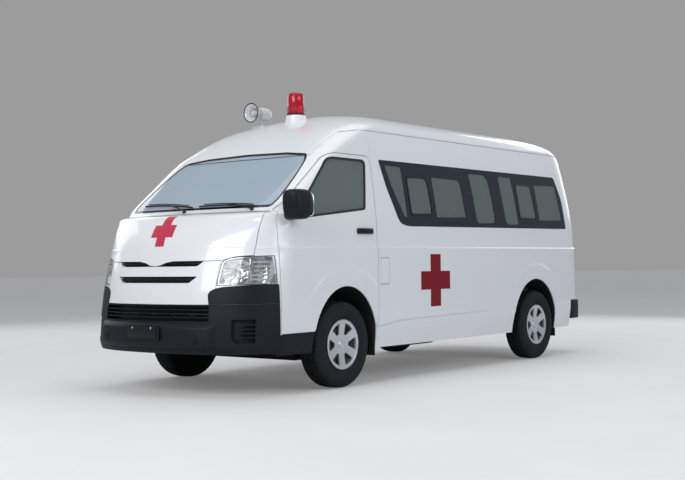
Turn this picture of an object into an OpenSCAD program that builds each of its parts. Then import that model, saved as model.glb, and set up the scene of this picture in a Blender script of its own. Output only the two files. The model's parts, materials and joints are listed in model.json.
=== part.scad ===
// A high-roof, long-wheelbase van fitted out as an ambulance, with its cab over the front axle.
// Frame: +Z up, the front of the vehicle towards -Y, its left side towards +X,
// the origin on the ground in the middle of the length and width.

/* [Overall] */
// Width of the body at its widest
body_w = 1880; // [1740:10:2260]
// Height of the crown of the roof
roof_h = 2285; // [2150:5:2750]
// Distance between the axles
wheelbase = 3110; // [2800:10:3740]
// Front axle to the face of the front bumper
front_overhang = 1200; // [1180:5:1260]
// Rear axle to the face of the rear bumper
rear_overhang = 1070; // [1050:5:1290]

/* [Shell] */
// Thickness of the walls, the doors and the tailgate
wall = 55; // [45:1:66]
// Thickness of the roof
roof_t = 40; // [30:1:55]
// Thickness of the window glass
glass_t = 8; // [6:1:10]
// Gap along every edge of a door or a lid
gap = 8; // [6:1:10]
// Height of the upper face of the floor
floor_top = 620; // [610:5:640]
// Height of the belt line, at the foot of the side windows
belt_h = 1310; // [1290:5:1330]

/* [Wheels] */
// Radius of a tyre
tyre_r = 338; // [280:1:345]
// Width of a tyre
tyre_w = 195; // [162:1:205]
// Radius of a wheel where the tyre seats on it
rim_r = 192; // [180:1:200]
// Distance between the middles of the left and right tyres
track = 1655; // [1600:5:1680]
// Distance of a kingpin inboard of its tyre's middle
kingpin_inset = 70; // [66:1:75]
// Radius of the stub that a wheel turns on
stub_r = 32; // [26:1:38]

/* [Roof equipment] */
// Radius of the beacon's lens
beacon_r = 74; // [55:1:80]
// Height of the beacon's lens
beacon_h = 178; // [150:1:200]
// Radius of the siren horn's mouth
horn_r = 75; // [62:1:90]

/* [Hidden] */
$fn = 48;

// Seats: a piece lies this far from the one that carries it, and a pin this far from its bore.
seat = 0.3;
eps = 0.01;

// Stations along the length
length = front_overhang + wheelbase + rear_overhang;
front_y = -length / 2;
rear_y = length / 2;
axle_f = front_y + front_overhang;
axle_r = axle_f + wheelbase;
door_front_y = axle_f - 738;
door_rear_y = axle_f + 440;
half = body_w / 2;

// Levels
sill_z = 285;
nose_z = 684;
lamp_low_z = 822;
lamp_top_z = 1040;
crease_z = 1092;
cowl_z = 1375;
glass_low_z = 1400;
header_z = roof_h - 438;
window_top_z = roof_h - 462;
door_top_z = roof_h - 447;
seam_z = roof_h - 225;
tailgate_top_z = roof_h - 235;
tailgate_low_z = 600;
door_low_z = 461;
floor_t = 40;
rail_h = 120;
rail_x = 430;
rail_w = 60;
platform_z = 840;

// Arches: half-length, height above the hub, and how far the middle lies from the axle
arch_a = 400;
arch_h = 456;
arch_front_shift = 25;
arch_rear_a = 430;
arch_rear_shift = -45;

// Wheels and suspension
kingpin_x = track / 2 - kingpin_inset;
hub_z = tyre_r;
knuckle_h = 105;
arm_t = 26;
pin_r = 12;
arm_reach = 120;
tip_in = 60;
tip_r = 14;

// ---- Body surface: horizontal sections stacked one over the other ----

// Setback of the nose behind the front face, at each height up to the foot of the windscreen
nose = [
    [sill_z - 300, 35], [sill_z, 30], [390, 0], [545, 0], [684, 13], [886, 54], [1050, 104], [1120, 129],
    [1200, 174], [1280, 239], [1345, 314], [cowl_z, 440], [glass_low_z, 485]
];
header_setback = 1080;
roof_front_run = 1120;
roof_rear_run = 1330;
tail_setback = 80;
tail_lean_z = 1100;
tail_lean = 170;
tail_crown_z = roof_h - 335;

// Inset of the side from the widest point, at each height up to the roof seam
side_inset = [
    [sill_z - 300, 60], [sill_z, 34], [500, 5], [800, 0], [crease_z, 0], [crease_z + 12, 8], [belt_h, 18],
    [header_z, 73], [seam_z, 105]
];
// Length of the rounded front corner, and its exponent (2 is an ellipse, more is squarer)
corner_run = [
    [sill_z, 500], [684, 545], [lamp_top_z, 540], [1280, 420], [cowl_z, 330], [header_z, 270],
    [seam_z, 350], [roof_h, 460]
];
corner_power = [
    [sill_z, 2.4], [684, 2.2], [lamp_top_z, 2.2], [1280, 2.5], [cowl_z, 4], [header_z, 5],
    [seam_z, 4], [roof_h, 2.6]
];
tail_run = 300;
tail_power = 4;

function crown(t) = pow(max(0, 1 - t * t), 0.55);
function front_at(z) =
    z < glass_low_z ? front_y + lookup(z, nose)
    : z < header_z ? front_y + lookup(z, [[glass_low_z, 485], [header_z, header_setback]])
    : front_y + header_setback
        + roof_front_run * (1 - sqrt(max(0, 1 - (z - header_z) / (roof_h - header_z))));
function rear_at(z) =
    let (lean = max(0, z - tail_lean_z) / (tail_crown_z - tail_lean_z))
    z < tail_crown_z ? rear_y - tail_setback - tail_lean * pow(min(1, lean), 1.4)
    : rear_y - tail_setback - tail_lean - roof_rear_run
        * (1 - pow(max(0, 1 - pow((z - tail_crown_z) / (roof_h - tail_crown_z), 2.2)), 1 / 2.2));
function half_at(z) =
    z < seam_z ? half - lookup(z, side_inset)
    : (half - lookup(seam_z, side_inset)) * crown((z - seam_z) / (roof_h - seam_z));

// The section's outline at height z, set in by d: front corner, side, rear corner, and its mirror
function quarter_front(z, d) =
    let (w = half_at(z) - d, run = lookup(z, corner_run), k = 2 / lookup(z, corner_power),
         f = front_at(z) + d, s = f + run - d / 2)
    [for (i = [0:8]) let (a = i * 90 / 8) [w * pow(sin(a), k), s - (s - f) * pow(cos(a), k)]];
function quarter_rear(z, d) =
    let (w = half_at(z) - d, r = rear_at(z) - d, s = r - tail_run + d / 2, k = 2 / tail_power)
    [for (i = [0:6]) let (a = i * 90 / 6) [w * pow(cos(a), k), s + (r - s) * pow(sin(a), k)]];
function flip(points) =
    [for (i = [len(points) - 1:-1:0]) if (abs(points[i][0]) > eps) [-points[i][0], points[i][1]]];
function section(z, d = 0) =
    let (right_half = concat(quarter_front(z, d), quarter_rear(z, d)))
    concat(right_half, flip(right_half));

// The side's half-width at (y, z) and the nose's y at (x, z), for pieces that lie on the body
function side_x(y, z) =
    let (run = lookup(z, corner_run), p = lookup(z, corner_power),
         t = max(0, front_at(z) + run - y) / run)
    half_at(z) * pow(max(0, 1 - pow(min(1, t), p)), 1 / p);
function nose_y(x, z) =
    let (run = lookup(z, corner_run), p = lookup(z, corner_power), t = min(1, abs(x) / half_at(z)))
    front_at(z) + run - run * pow(1 - pow(t, p), 1 / p);
function roof_z(y, z = 0) =
    roof_h - (roof_h - header_z) * pow(1 - min(1, (y - front_y - header_setback) / roof_front_run), 2);

// Heights of the sections, closer together where the body curves
levels = concat(
    [sill_z, 390, 545, 684, 800, 886, 970, 1050, crease_z, crease_z + 12, 1200, 1280, 1345,
     cowl_z, glass_low_z],
    [for (i = [1:3]) glass_low_z + (header_z - glass_low_z) * i / 3],
    [for (i = [1:3]) header_z + (seam_z - header_z) * i / 3],
    [for (i = [1:9]) seam_z + (roof_h - seam_z) * sin(i * 9.6)]
);
function lift(z, t) = t * min(1, max(0, (z - header_z) / 200));

module slab(low, high) {
    hull() polyhedron(concat(low, high), [[for (i = [0:len(low) + len(high) - 1]) i]]);
}

// The solid inside the body surface, set in by d and down by t under the roof
module solid(d = 0, t = 0, bottom = sill_z) {
    zs = concat([bottom], [for (z = levels) if (z > bottom + 1) z]);
    rings = [for (z = zs) [for (p = section(z, d)) [p[0], p[1], z - lift(z, t)]]];
    for (i = [0:len(zs) - 2]) slab(rings[i], rings[i + 1]);
}

// A skin of the body between two depths below its surface
module skin(outer, inner, roof_inner) {
    difference() {
        solid(outer, outer);
        solid(inner, roof_inner, sill_z - 40);
    }
}
module shell() { skin(0, wall, roof_t); }

// Prisms that cut the shell: an outline of (y, z) points on one side, or of (x, z) points in front
module side_prism(points, side, grow = 0, from = 300) {
    multmatrix([[0, 0, side, side * from], [1, 0, 0, 0], [0, 1, 0, 0], [0, 0, 0, 1]])
        linear_extrude(1100) offset(delta = grow) polygon(points);
}
module front_prism(points, from, to, grow = 0) {
    translate([0, to, 0]) rotate([90, 0, 0]) linear_extrude(to - from) offset(delta = grow) polygon(points);
}
module box(low, high) {
    translate(low) cube(high - low);
}
module both_sides() {
    children();
    mirror([1, 0, 0]) children();
}

// ---- Outlines, seen from the side (y, z) ----
function arch(y, a, grow = 0) =
    [for (i = [0:24]) let (t = i * 180 / 24) [y + (a + grow) * cos(t), hub_z + (arch_h + grow) * sin(t)]];
function arch_outline(y, a, grow = 0) =
    concat([[y + a + grow, 0]], arch(y, a, grow), [[y - a - grow, 0]]);
front_arch_y = axle_f + arch_front_shift;
rear_arch_y = axle_r + arch_rear_shift;

door_outline = [
    [door_front_y, door_low_z], [door_front_y + 22, belt_h + 2], [axle_f - 90, door_top_z],
    [door_rear_y - 18, door_top_z], [door_rear_y, belt_h + 40], [door_rear_y, door_low_z]
];
door_glass = [
    [axle_f - 600, belt_h - 5], [axle_f - 110, window_top_z - 18], [door_rear_y - 80, window_top_z - 18],
    [door_rear_y - 120, belt_h + 85], [axle_f - 60, belt_h + 20]
];
roof_line = [
    [front_y, header_z - 20], [axle_f - 262, header_z - 20], [axle_f + 150, seam_z - 30], [axle_f + 350, seam_z - 4],
    [rear_y, seam_z - 4]
];
roof_outline = concat(roof_line, [[rear_y + 50, roof_h + 50], [front_y, roof_h + 50]]);
slide_front_y = door_rear_y + 70;
slide_rear_y = slide_front_y + 1000;
slide_outline = [
    [slide_front_y, door_low_z], [slide_front_y, seam_z - 90], [slide_rear_y, seam_z - 90],
    [slide_rear_y, door_low_z]
];
tail_wrap_y = rear_y - 365;
bumper_rear_low = 362;
bumper_rear_top = 562;

// Side windows: the band between the door and the rear corner, parted by two posts
band_front = door_rear_y + 170;
band_rear = rear_y - 500;
post_1 = slide_rear_y + 60;
post_2 = post_1 + (band_rear - post_1) * 0.47;
post_w = 90;
function pane(a, b, lean_a = 0, lean_b = 0) = [
    [a + lean_a, belt_h], [a, window_top_z], [b - lean_b, window_top_z], [b, belt_h]
];
panes = [
    pane(band_front, post_1 - 90 - post_w, 120), pane(post_1, post_2), pane(post_2 + post_w, band_rear, 0, 110)
];

// ---- Outlines, seen from the front (x, z) ----
grille_w = 575;
lamp_in = 588;
screen = [
    [-740, glass_low_z + 18], [740, glass_low_z + 18], [662, header_z - 12], [-662, header_z - 12]
];
bonnet_half = 788;
bonnet_top_z = cowl_z - 16;
bonnet_outline = [
    [-bonnet_half, 1042], [-690, 1038], [-600, 1014], [-540, 1004], [-250, 992], [250, 992], [540, 1004],
    [600, 1014], [690, 1038], [bonnet_half, 1042], [bonnet_half, bonnet_top_z], [-bonnet_half, bonnet_top_z]
];
nose_outline = [[-grille_w, nose_z], [grille_w, nose_z], [grille_w, 985], [-grille_w, 985]];
tail_half = 745;
tailgate_outline = [
    [-tail_half, tailgate_low_z], [tail_half, tailgate_low_z], [tail_half, belt_h],
    [tail_half - 60, tailgate_top_z], [60 - tail_half, tailgate_top_z], [-tail_half, belt_h]
];
tail_glass = [
    [-600, belt_h + 20], [600, belt_h + 20], [560, window_top_z + 30], [-560, window_top_z + 30]
];

// Regions of the shell that other nodes take
module roof_zone() {
    for (side = [-1, 1]) side_prism(roof_outline, side, 0, -1);
    front_prism([[-715, header_z - 20 + eps], [715, header_z - 20 + eps], [715, seam_z], [-715, seam_z]],
        front_y, axle_f + 400);
}
module lamp_zone() {
    both_sides() intersection() {
        front_prism([[lamp_in, lamp_low_z], [half + 60, lamp_low_z], [half + 60, lamp_top_z - 8],
                     [690, lamp_top_z - 12], [600, lamp_top_z - 40], [lamp_in, lamp_top_z - 62]],
                    front_y - 50, door_front_y - 24);
    }
}
module bumper_zone() {
    box([-half - 60, front_y - 50, 0], [half + 60, door_front_y - gap - 12, nose_z]);
    both_sides() {
        box([lamp_in - 10, front_y - 50, nose_z - eps], [half + 60, door_front_y - gap - 12, lamp_low_z]);
        box([half - 200, front_y, 0], [half + 60, front_arch_y, door_low_z - gap]);
    }
}
module tailgate_zone(grow = 0) {
    front_prism(tailgate_outline, rear_y - 620, rear_y + 50, grow);
}
module door_zone(side, grow = 0) { side_prism(door_outline, side, grow, 620); }
module bonnet_zone(grow = 0) {
    front_prism(bonnet_outline, front_y - 50, front_y + 520, grow);
}
module arches(grow = 0) {
    for (side = [-1, 1]) {
        side_prism(arch_outline(front_arch_y, arch_a), side, grow);
        side_prism(arch_outline(rear_arch_y, arch_rear_a), side, grow);
    }
}
module slide_zone(grow = 0) { side_prism(slide_outline, -1, grow); }
module rear_bumper_zone() {
    box([-half - 60, tail_wrap_y, 0], [half + 60, rear_y + 50, bumper_rear_top]);
}

// ---- Shell panels ----
module roof() {
    color("white") difference() {
        intersection() {
            shell();
            roof_zone();
        }
        tailgate_zone(gap);
        for (side = [-1, 1]) door_zone(side, gap);
        front_prism(screen, front_y, axle_f);
        tail_hinges() fixed_pocket(roof_reach, roof_hook);
    }
}

flap_y = door_rear_y + 36;
flap_w = 118;
flap_low = 800;
flap_high = 1010;
module flap_pocket() {
    box([half - wall + 12, flap_y - gap, flap_low - gap], [half + 60, flap_y + flap_w + gap, flap_high + gap]);
}

module side_panel() {
    difference() {
        intersection() {
            shell();
            union() {
                box([0, door_rear_y + gap, 0], [half + 60, rear_y + 50, roof_h]);
                box([0, front_arch_y, 0], [half + 60, rear_y, door_low_z - gap]);
            }
        }
        roof_zone();
        tailgate_zone(gap);
        rear_bumper_zone();
        arches();
        tail_lamp_zone();
        children();
    }
}
module side_panel_left() {
    color("white") side_panel() {
        for (p = panes) side_prism(p, 1);
        flap_pocket();
    }
}
module side_panel_right() {
    color("white") mirror([1, 0, 0]) side_panel() {
        for (i = [1:2]) side_prism(panes[i], 1);
        side_prism(slide_outline, 1, gap);
    }
}

module sliding_door() {
    color("white") difference() {
        intersection() {
            shell();
            slide_zone();
        }
        side_prism(panes[0], -1);
    }
    // Roller arms that run in the tracks of the floor
    for (y = [slide_front_y + 90, slide_rear_y - 90]) color("dimgray")
        box([-half + wall - 5, y - 30, floor_top - floor_t - 12], [-half + wall + 60, y + 30, floor_top - floor_t - seat]);
}

module front_body() {
    color("white") difference() {
        intersection() {
            shell();
            box([-half - 60, front_y - 50, door_low_z - gap], [half + 60, door_rear_y + gap, roof_h]);
        }
        roof_zone();
        for (side = [-1, 1]) door_zone(side, gap);
        bonnet_zone(gap);
        front_prism(nose_outline, front_y - 50, front_y + 300);
        front_prism(screen, front_y, axle_f);
        lamp_zone();
        bumper_zone();
        arches();
        door_hinges() fixed_pocket(door_reach);
    }
}

module front_bumper() {
    color("#15171b") difference() {
        intersection() {
            shell();
            bumper_zone();
        }
        arches();
        // Lower air intake, the two tow-eye covers and the plate's holes
        front_prism([[-560, 556], [560, 556], [560, 660], [-560, 660]], front_y - 50, front_y + 300);
        both_sides() translate([plate_bolt_x, front_y - 20, plate_bolt_z])
            rotate([-90, 0, 0]) cylinder(r = plate_bolt_r, h = 120);
        both_sides() translate([468, front_y - 20, 434]) rotate([-90, 0, 0]) cylinder(r = 34, h = 200);
        door_hinges() fixed_pocket(door_reach);
    }
}
plate_bolt_x = 101;
plate_bolt_z = 510;
plate_bolt_r = 4;

module grille() {
    color("white") difference() {
        intersection() {
            shell();
            front_prism(nose_outline, front_y - 50, front_y + 300);
        }
        front_prism([[-400, 862], [400, 862], [440, 888], [-440, 888]], front_y - 50, front_y + 300);
        front_prism([[-402, 936], [402, 936], [450, 968], [60, 968], [0, 950], [-60, 968], [-450, 968]],
            front_y - 50, front_y + 300);
    }
    // Slats of the lower intake
    color("#1a1c20") for (z = [582, 616]) difference() {
        intersection() {
            translate([0, 0, z]) linear_extrude(12) polygon(section(z, 12));
            box([-560 + seat, front_y, z], [560 - seat, front_y + 300, z + 12]);
        }
        translate([0, 0, z - 1]) linear_extrude(14) polygon(section(z, 40));
    }
}

module headlamps() {
    color("#e8edf2") difference() {
        intersection() {
            shell();
            lamp_zone();
        }
        door_hinges() fixed_pocket(door_reach);
    }
}

module tail_lamp_zone() {
    box([tail_half - 40, rear_y - 260, 700], [half + 60, rear_y + 50, belt_h - 20]);
}
module tail_lamps() {
    color("#a3121c") both_sides() difference() {
        intersection() {
            skin(0, wall, roof_t);
            tail_lamp_zone();
        }
        tailgate_zone(gap);
    }
}

module rear_bumper() {
    color("#3a3d42") difference() {
        translate([0, 0, bumper_rear_low]) linear_extrude(bumper_rear_top - bumper_rear_low - seat)
            intersection() {
                polygon([for (p = section(500)) [p[0] * 1.004, p[1] > 0 ? p[1] + tail_setback : p[1]]]);
                translate([-half - 60, tail_wrap_y + seat]) square([body_w + 120, length]);
            }
        translate([0, 0, sill_z]) linear_extrude(400) polygon([for (p = section(500, 60)) [p[0], p[1] + tail_setback - 20]]);
        both_sides() translate([plate_bolt_x, rear_y - 100, 470]) rotate([-90, 0, 0]) cylinder(r = plate_bolt_r, h = 200);
    }
}

// ---- Glass ----
module glass_cut() { skin(4, 4 + glass_t, 4 + glass_t); }

module windscreen() {
    color([0.6, 0.68, 0.75, 0.5]) intersection() {
        glass_cut();
        front_prism(screen, front_y, axle_f, -seat);
    }
}
module side_windows() {
    color([0.2, 0.24, 0.28, 0.6]) intersection() {
        glass_cut();
        for (side = [-1, 1]) for (p = panes) side_prism(p, side, -seat);
    }
}
module door_window(side) {
    color([0.35, 0.4, 0.42, 0.5]) intersection() {
        glass_cut();
        side_prism(door_glass, side, -seat);
    }
}
module tailgate_window() {
    color([0.2, 0.24, 0.28, 0.6]) intersection() {
        glass_cut();
        front_prism(tail_glass, rear_y - 620, rear_y + 50, -seat);
    }
}

// ---- Doors and lids ----
// Hinge axes lie in the outer skin, at the edge that each door turns about
hinge_pin_r = 5;
hinge_r = 9;
hinge_h = 60;
disc_t = 8;
disc_z = hinge_h / 2 + 8;
disc_r = hinge_pin_r + 3;
door_hinge_zs = [560, 940];
door_hinge_x = (side_x(door_front_y, door_hinge_zs[0]) + side_x(door_front_y, door_hinge_zs[1])) / 2;
door_hinge_y = door_front_y - 2;
door_reach = 34;
tail_hinge_x = 450;
tail_hinge_z = tailgate_top_z + 2;
tail_hinge_y = rear_at(tail_hinge_z) - 2;
roof_reach = 34;
roof_hook = 50;
bonnet_hinge_x = 380;
bonnet_hinge_z = bonnet_top_z;
bonnet_hinge_y = front_at(bonnet_hinge_z) + 2;
bonnet_reach = 62;
flap_pin_r = 3;
flap_hinge_r = 5;
flap_hinge_x = half - 6;
flap_hinge_y = flap_y + 3;
flap_mid_z = (flap_low + flap_high) / 2;

// Places of the hinges: the axis runs along local Z, and the fixed panel lies towards local -Y
module door_hinges() {
    both_sides() for (z = door_hinge_zs) translate([door_hinge_x, door_hinge_y, z]) children();
}
module tail_hinges() {
    both_sides() translate([tail_hinge_x, tail_hinge_y, tail_hinge_z]) rotate([0, 90, 0])
        rotate([0, 0, -90]) children();
}
module bonnet_hinges() {
    both_sides() translate([bonnet_hinge_x, bonnet_hinge_y, bonnet_hinge_z]) rotate([0, 90, 0])
        rotate([0, 0, 180]) children();
}

// The moving half of a hinge: a barrel on a leaf that reaches into the door
leaf_in = 24;
leaf_w = 24;
module leaf(inboard) {
    cylinder(r = hinge_r, h = hinge_h, center = true);
    box([-inboard, 0, -hinge_h / 2], [4, leaf_w, hinge_h / 2]);
}
module leaf_bore() {
    cylinder(r = hinge_pin_r + seat, h = hinge_h + 8, center = true);
    for (s = [-1, 1]) translate([0, 0, s * disc_z]) cylinder(r = disc_r + 1.5, h = disc_t + 3, center = true);
}
// The fixed half: a pin between two discs, each on a plate that reaches into the fixed panel
module plates(r, reach, grow = 0, hook = 0) {
    for (s = [-1, 1]) translate([0, 0, s * disc_z]) {
        cylinder(r = r + 3 + grow, h = disc_t + 2 * grow, center = true);
        box([-r - grow, -reach - grow, -disc_t / 2 - grow], [r + grow, 0, disc_t / 2 + grow]);
        box([-r - grow, -reach - grow, -disc_t / 2 - grow], [r + hook + grow, -reach + 12 + grow, disc_t / 2 + grow]);
    }
}
module pin(r, reach, hook = 0) {
    cylinder(r = r, h = 2 * disc_z, center = true);
    plates(r, reach, hook = hook);
}
module fixed_pocket(reach, hook = 0) {
    cylinder(r = hinge_r + 5, h = hinge_h + 6, center = true);
    box([-leaf_in - 6, -6, -hinge_h / 2 - 6], [hinge_r, leaf_w + 6, hinge_h / 2 + 6]);
    plates(hinge_pin_r, reach, seat, hook);
}

module front_door(side) {
    color("white") difference() {
        union() {
            difference() {
                intersection() {
                    shell();
                    door_zone(side);
                }
                side_prism(door_glass, side);
                arches();
            }
            mirror([side > 0 ? 0 : 1, 0, 0]) for (z = door_hinge_zs)
                translate([door_hinge_x, door_hinge_y, z]) leaf(leaf_in);
        }
        door_hinges() leaf_bore();
    }
}

module tailgate() {
    color("white") difference() {
        union() {
            difference() {
                intersection() {
                    shell();
                    tailgate_zone();
                }
                front_prism(tail_glass, rear_y - 620, rear_y + 50);
            }
            tail_hinges() leaf(leaf_in);
        }
        tail_hinges() leaf_bore();
    }
}

module bonnet() {
    color("white") difference() {
        union() {
            intersection() {
                shell();
                bonnet_zone();
            }
            bonnet_hinges() leaf(14);
        }
        bonnet_hinges() {
            leaf_bore();
            // Slots that the plates pass through
            for (s = [-1, 1]) translate([0, 0, s * disc_z])
                box([-30, -bonnet_reach - 10, -disc_t / 2 - 5], [20, 5, disc_t / 2 + 5]);
        }
    }
}

module fuel_flap() {
    color("white") difference() {
        union() {
            box([half - 7, flap_y, flap_low], [half - 1, flap_y + flap_w, flap_high]);
            translate([flap_hinge_x, flap_hinge_y, flap_mid_z]) cylinder(r = flap_hinge_r, h = hinge_h, center = true);
        }
        translate([flap_hinge_x, flap_hinge_y, flap_mid_z]) {
            cylinder(r = flap_pin_r + seat, h = hinge_h + 8, center = true);
            for (s = [-1, 1]) translate([0, 0, s * disc_z]) {
                cylinder(r = flap_pin_r + 5, h = disc_t + 3, center = true);
                box([-20, -20, -disc_t / 2 - 2], [20, 0, disc_t / 2 + 2]);
            }
        }
    }
}

module hinge_pins() {
    color("silver") {
        door_hinges() pin(hinge_pin_r, door_reach);
        tail_hinges() pin(hinge_pin_r, roof_reach, roof_hook);
        bonnet_hinges() {
            cylinder(r = hinge_pin_r, h = 2 * disc_z, center = true);
            for (s = [-1, 1]) translate([0, 0, s * disc_z])
                box([-gap + seat, -bonnet_reach, -disc_t / 2], [gap - seat, 0, disc_t / 2]);
        }
        translate([flap_hinge_x, flap_hinge_y, flap_mid_z])
            pin(flap_pin_r, flap_hinge_y - flap_y + gap - seat);
    }
}

// Door mirror: a rounded housing on a foot at the front corner of the door's glass
module mirror_left() {
    color("#15171b") {
        hull() for (z = [1322, 1494]) for (y = [-734, -560])
            translate([half + 40, axle_f + y, z]) rotate([0, 90, 0]) cylinder(r = 26, h = 118, $fn = 32);
        hull() {
            translate([side_x(axle_f - 590, 1330) + seat, axle_f - 640, 1300]) cube([6, 70, 80]);
            translate([half + 45, axle_f - 640, 1330]) cube([10, 60, 60]);
        }
    }
}

// ---- Outside fittings ----
// A point a distance out from the glass or the cowl, along the slope's normal
function off_glass(x, z, d, slope) = [x, nose_y(x, z) - d * sin(slope), z + d * cos(slope)];
screen_slope = atan2(header_z - glass_low_z, header_setback - 485);
module wipers() {
    blade_r = 8;
    arm_r = 7;
    color("#101114") for (w = [[-650, -30], [50, 670]]) {
        steps = 4;
        for (i = [0:steps - 1]) hull() for (k = [i, i + 1])
            translate(off_glass(w[0] + (w[1] - w[0]) * k / steps, glass_low_z + 38 + 8 * k, blade_r - 1.5, screen_slope))
                sphere(r = blade_r, $fn = 12);
        hull() {
            translate(off_glass((w[0] + w[1]) / 2, glass_low_z + 54, blade_r + arm_r - 3, screen_slope))
                sphere(r = arm_r, $fn = 12);
            translate(off_glass(w[0] + 40, cowl_z + 14, 10.5, screen_slope - 8)) sphere(r = 10, $fn = 12);
        }
    }
}

module mud_flaps() {
    y = rear_arch_y + arch_rear_a + 24;
    x = track / 2 - tyre_w / 2;
    color("#101114") both_sides() {
        box([x, y, 200], [half_at(sill_z) - wall - seat, y + 6, 480]);
        box([x, y, 200], [half - 40, y + 6, sill_z - seat]);
    }
}

beacon_y = axle_f + 530;
beacon_z = roof_z(beacon_y);
base_h = 56;
module beacon_base() {
    color("white") difference() {
        union() {
            translate([0, beacon_y, beacon_z - 14]) cylinder(r1 = beacon_r + 26, r2 = beacon_r + 6, h = base_h + 14);
        }
        solid(0, 0, header_z);
    }
    // Spindle of the turning mirror
    color("silver") translate([0, beacon_y, beacon_z + base_h]) cylinder(r = 6, h = 60);
}
module beacon_lens() {
    color([0.75, 0.03, 0.08, 0.7]) translate([0, beacon_y, beacon_z + base_h + seat]) difference() {
        union() {
            cylinder(r = beacon_r, h = beacon_h - beacon_r * 0.6);
            translate([0, 0, beacon_h - beacon_r * 0.6]) intersection() {
                cylinder(r = beacon_r, h = beacon_r * 0.6);
                translate([0, 0, -beacon_r * 0.35]) sphere(r = beacon_r * 1.06);
            }
        }
        translate([0, 0, -1]) cylinder(r = beacon_r - 5, h = beacon_h - beacon_r * 0.6 - 4);
    }
}
module beacon_reflector() {
    color("silver") translate([0, beacon_y, beacon_z + base_h]) difference() {
        union() {
            translate([0, 0, 8]) cylinder(r = 11, h = 40);
            translate([-30, 8, 12]) cube([60, 4, 70]);
        }
        translate([0, 0, 7]) cylinder(r = 6 + seat, h = 80);
    }
}

horn_x = -410;
horn_y = axle_f + 520;
horn_post = 110;
module siren_horn() {
    z0 = roof_z(horn_y) - 22;
    color("#d9dce0") {
        difference() {
            union() {
                translate([horn_x - 60, horn_y - 45, z0 - 60]) cube([120, 90, 78]);
                translate([horn_x, horn_y, z0]) cylinder(r = 16, h = horn_post);
            }
            solid(0, 0, header_z);
        }
        translate([horn_x, horn_y, z0 + horn_post + 24]) rotate([90, 0, 0]) rotate_extrude() polygon([
            [0, -110], [46, -110], [46, -62], [26, -44], [34, 20], [50, 84], [horn_r + 4, 122], [horn_r + 4, 128],
            [horn_r - 3, 128], [42, 90], [24, 30], [16, -20], [0, -20]
        ]);
    }
}

// ---- Under the body ----
module floor() {
    color("#6b7075") difference() {
        union() {
            // Floor plate, up to the walls
            translate([0, 0, floor_top - floor_t]) linear_extrude(floor_t) difference() {
                intersection() {
                    polygon(section(floor_top, wall + floor_clear));
                    translate([-half, front_y]) square([body_w, length - 60]);
                }
                translate([-half, axle_f - 400]) square([body_w, 860]);
            }
            // Raised platform over the front wheels and the engine
            box([seat - platform_w, axle_f - 440, platform_z - floor_t], [platform_w - seat, axle_f + 500, platform_z]);
            for (y = [axle_f - 440, axle_f + 460])
                box([seat - platform_w, y, floor_top - floor_t], [platform_w - seat, y + 40, platform_z - eps]);
            both_sides() {
                box([rail_x + rail_w / 2 + 20, axle_f - 440, floor_top - floor_t - 60],
                    [rail_x + rail_w / 2 + 45, axle_f + 500, platform_z - eps]);
                box([house_in, axle_r - 560, floor_top - floor_t], [half_at(500) - wall - seat, axle_r + 480, hub_z + arch_h + 60]);
            }
        }
        for (side = [-1, 1]) side_prism(rear_house_cut, side, 0, house_in + 25);
    }
}
// The walls lean a little over the floor's thickness, so it is cut clear of them by more than a seat
floor_clear = seat + 0.8;
platform_w = half_at(500) - wall;
house_in = track / 2 - tyre_w / 2 - 75;
rear_house_cut = [
    [axle_r - 530, 0], [axle_r - 530, hub_z + 160], [axle_r - 260, hub_z + arch_h + 20],
    [axle_r + 200, hub_z + arch_h + 20], [axle_r + 450, hub_z + 160], [axle_r + 450, 0]
];

rail_top = floor_top - floor_t - seat;
rail_front = front_y + 130;
rail_rear = rear_y - 146;
module chassis_frame() {
    color("#202225") {
        both_sides() box([rail_x - rail_w / 2, rail_front, rail_top - rail_h], [rail_x + rail_w / 2, rail_rear, rail_top]);
        for (y = [rail_front, axle_f - 560, axle_f + 640, axle_f + 1500, axle_r - 700, axle_r + 520, rail_rear - 60])
            box([-rail_x, y, rail_top - rail_h + 20], [rail_x, y + 60, rail_top]);
        // Tow eye on the inner side of the left rail, open from below
        translate([rail_x - rail_w / 2 - tow_eye_r - 14, rail_front + 130, rail_top - rail_h]) difference() {
            union() {
                cylinder(r = tow_eye_r + 18, h = tow_eye_t);
                box([0, -tow_eye_r - 18, 0], [tow_eye_r + 16, tow_eye_r + 18, tow_eye_t]);
            }
            translate([0, 0, -1]) cylinder(r = tow_eye_r, h = tow_eye_t + 2);
        }
        // Jacking pads under the rails
        both_sides() box([rail_x - jack_w / 2, jack_y - jack_w / 2, rail_top - rail_h - jack_t],
            [rail_x + jack_w / 2, jack_y + jack_w / 2, rail_top - rail_h]);
        // Outriggers that carry the sills
        both_sides() for (y = [axle_f + 640, axle_f + 1500, axle_r - 700])
            box([rail_x, y, rail_top - 60], [half_at(500) - wall - 12, y + 60, rail_top]);
    }
}
tow_eye_r = 20;
tow_eye_t = 22;
jack_w = 56;
jack_t = 12;
jack_y = 300;

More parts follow.
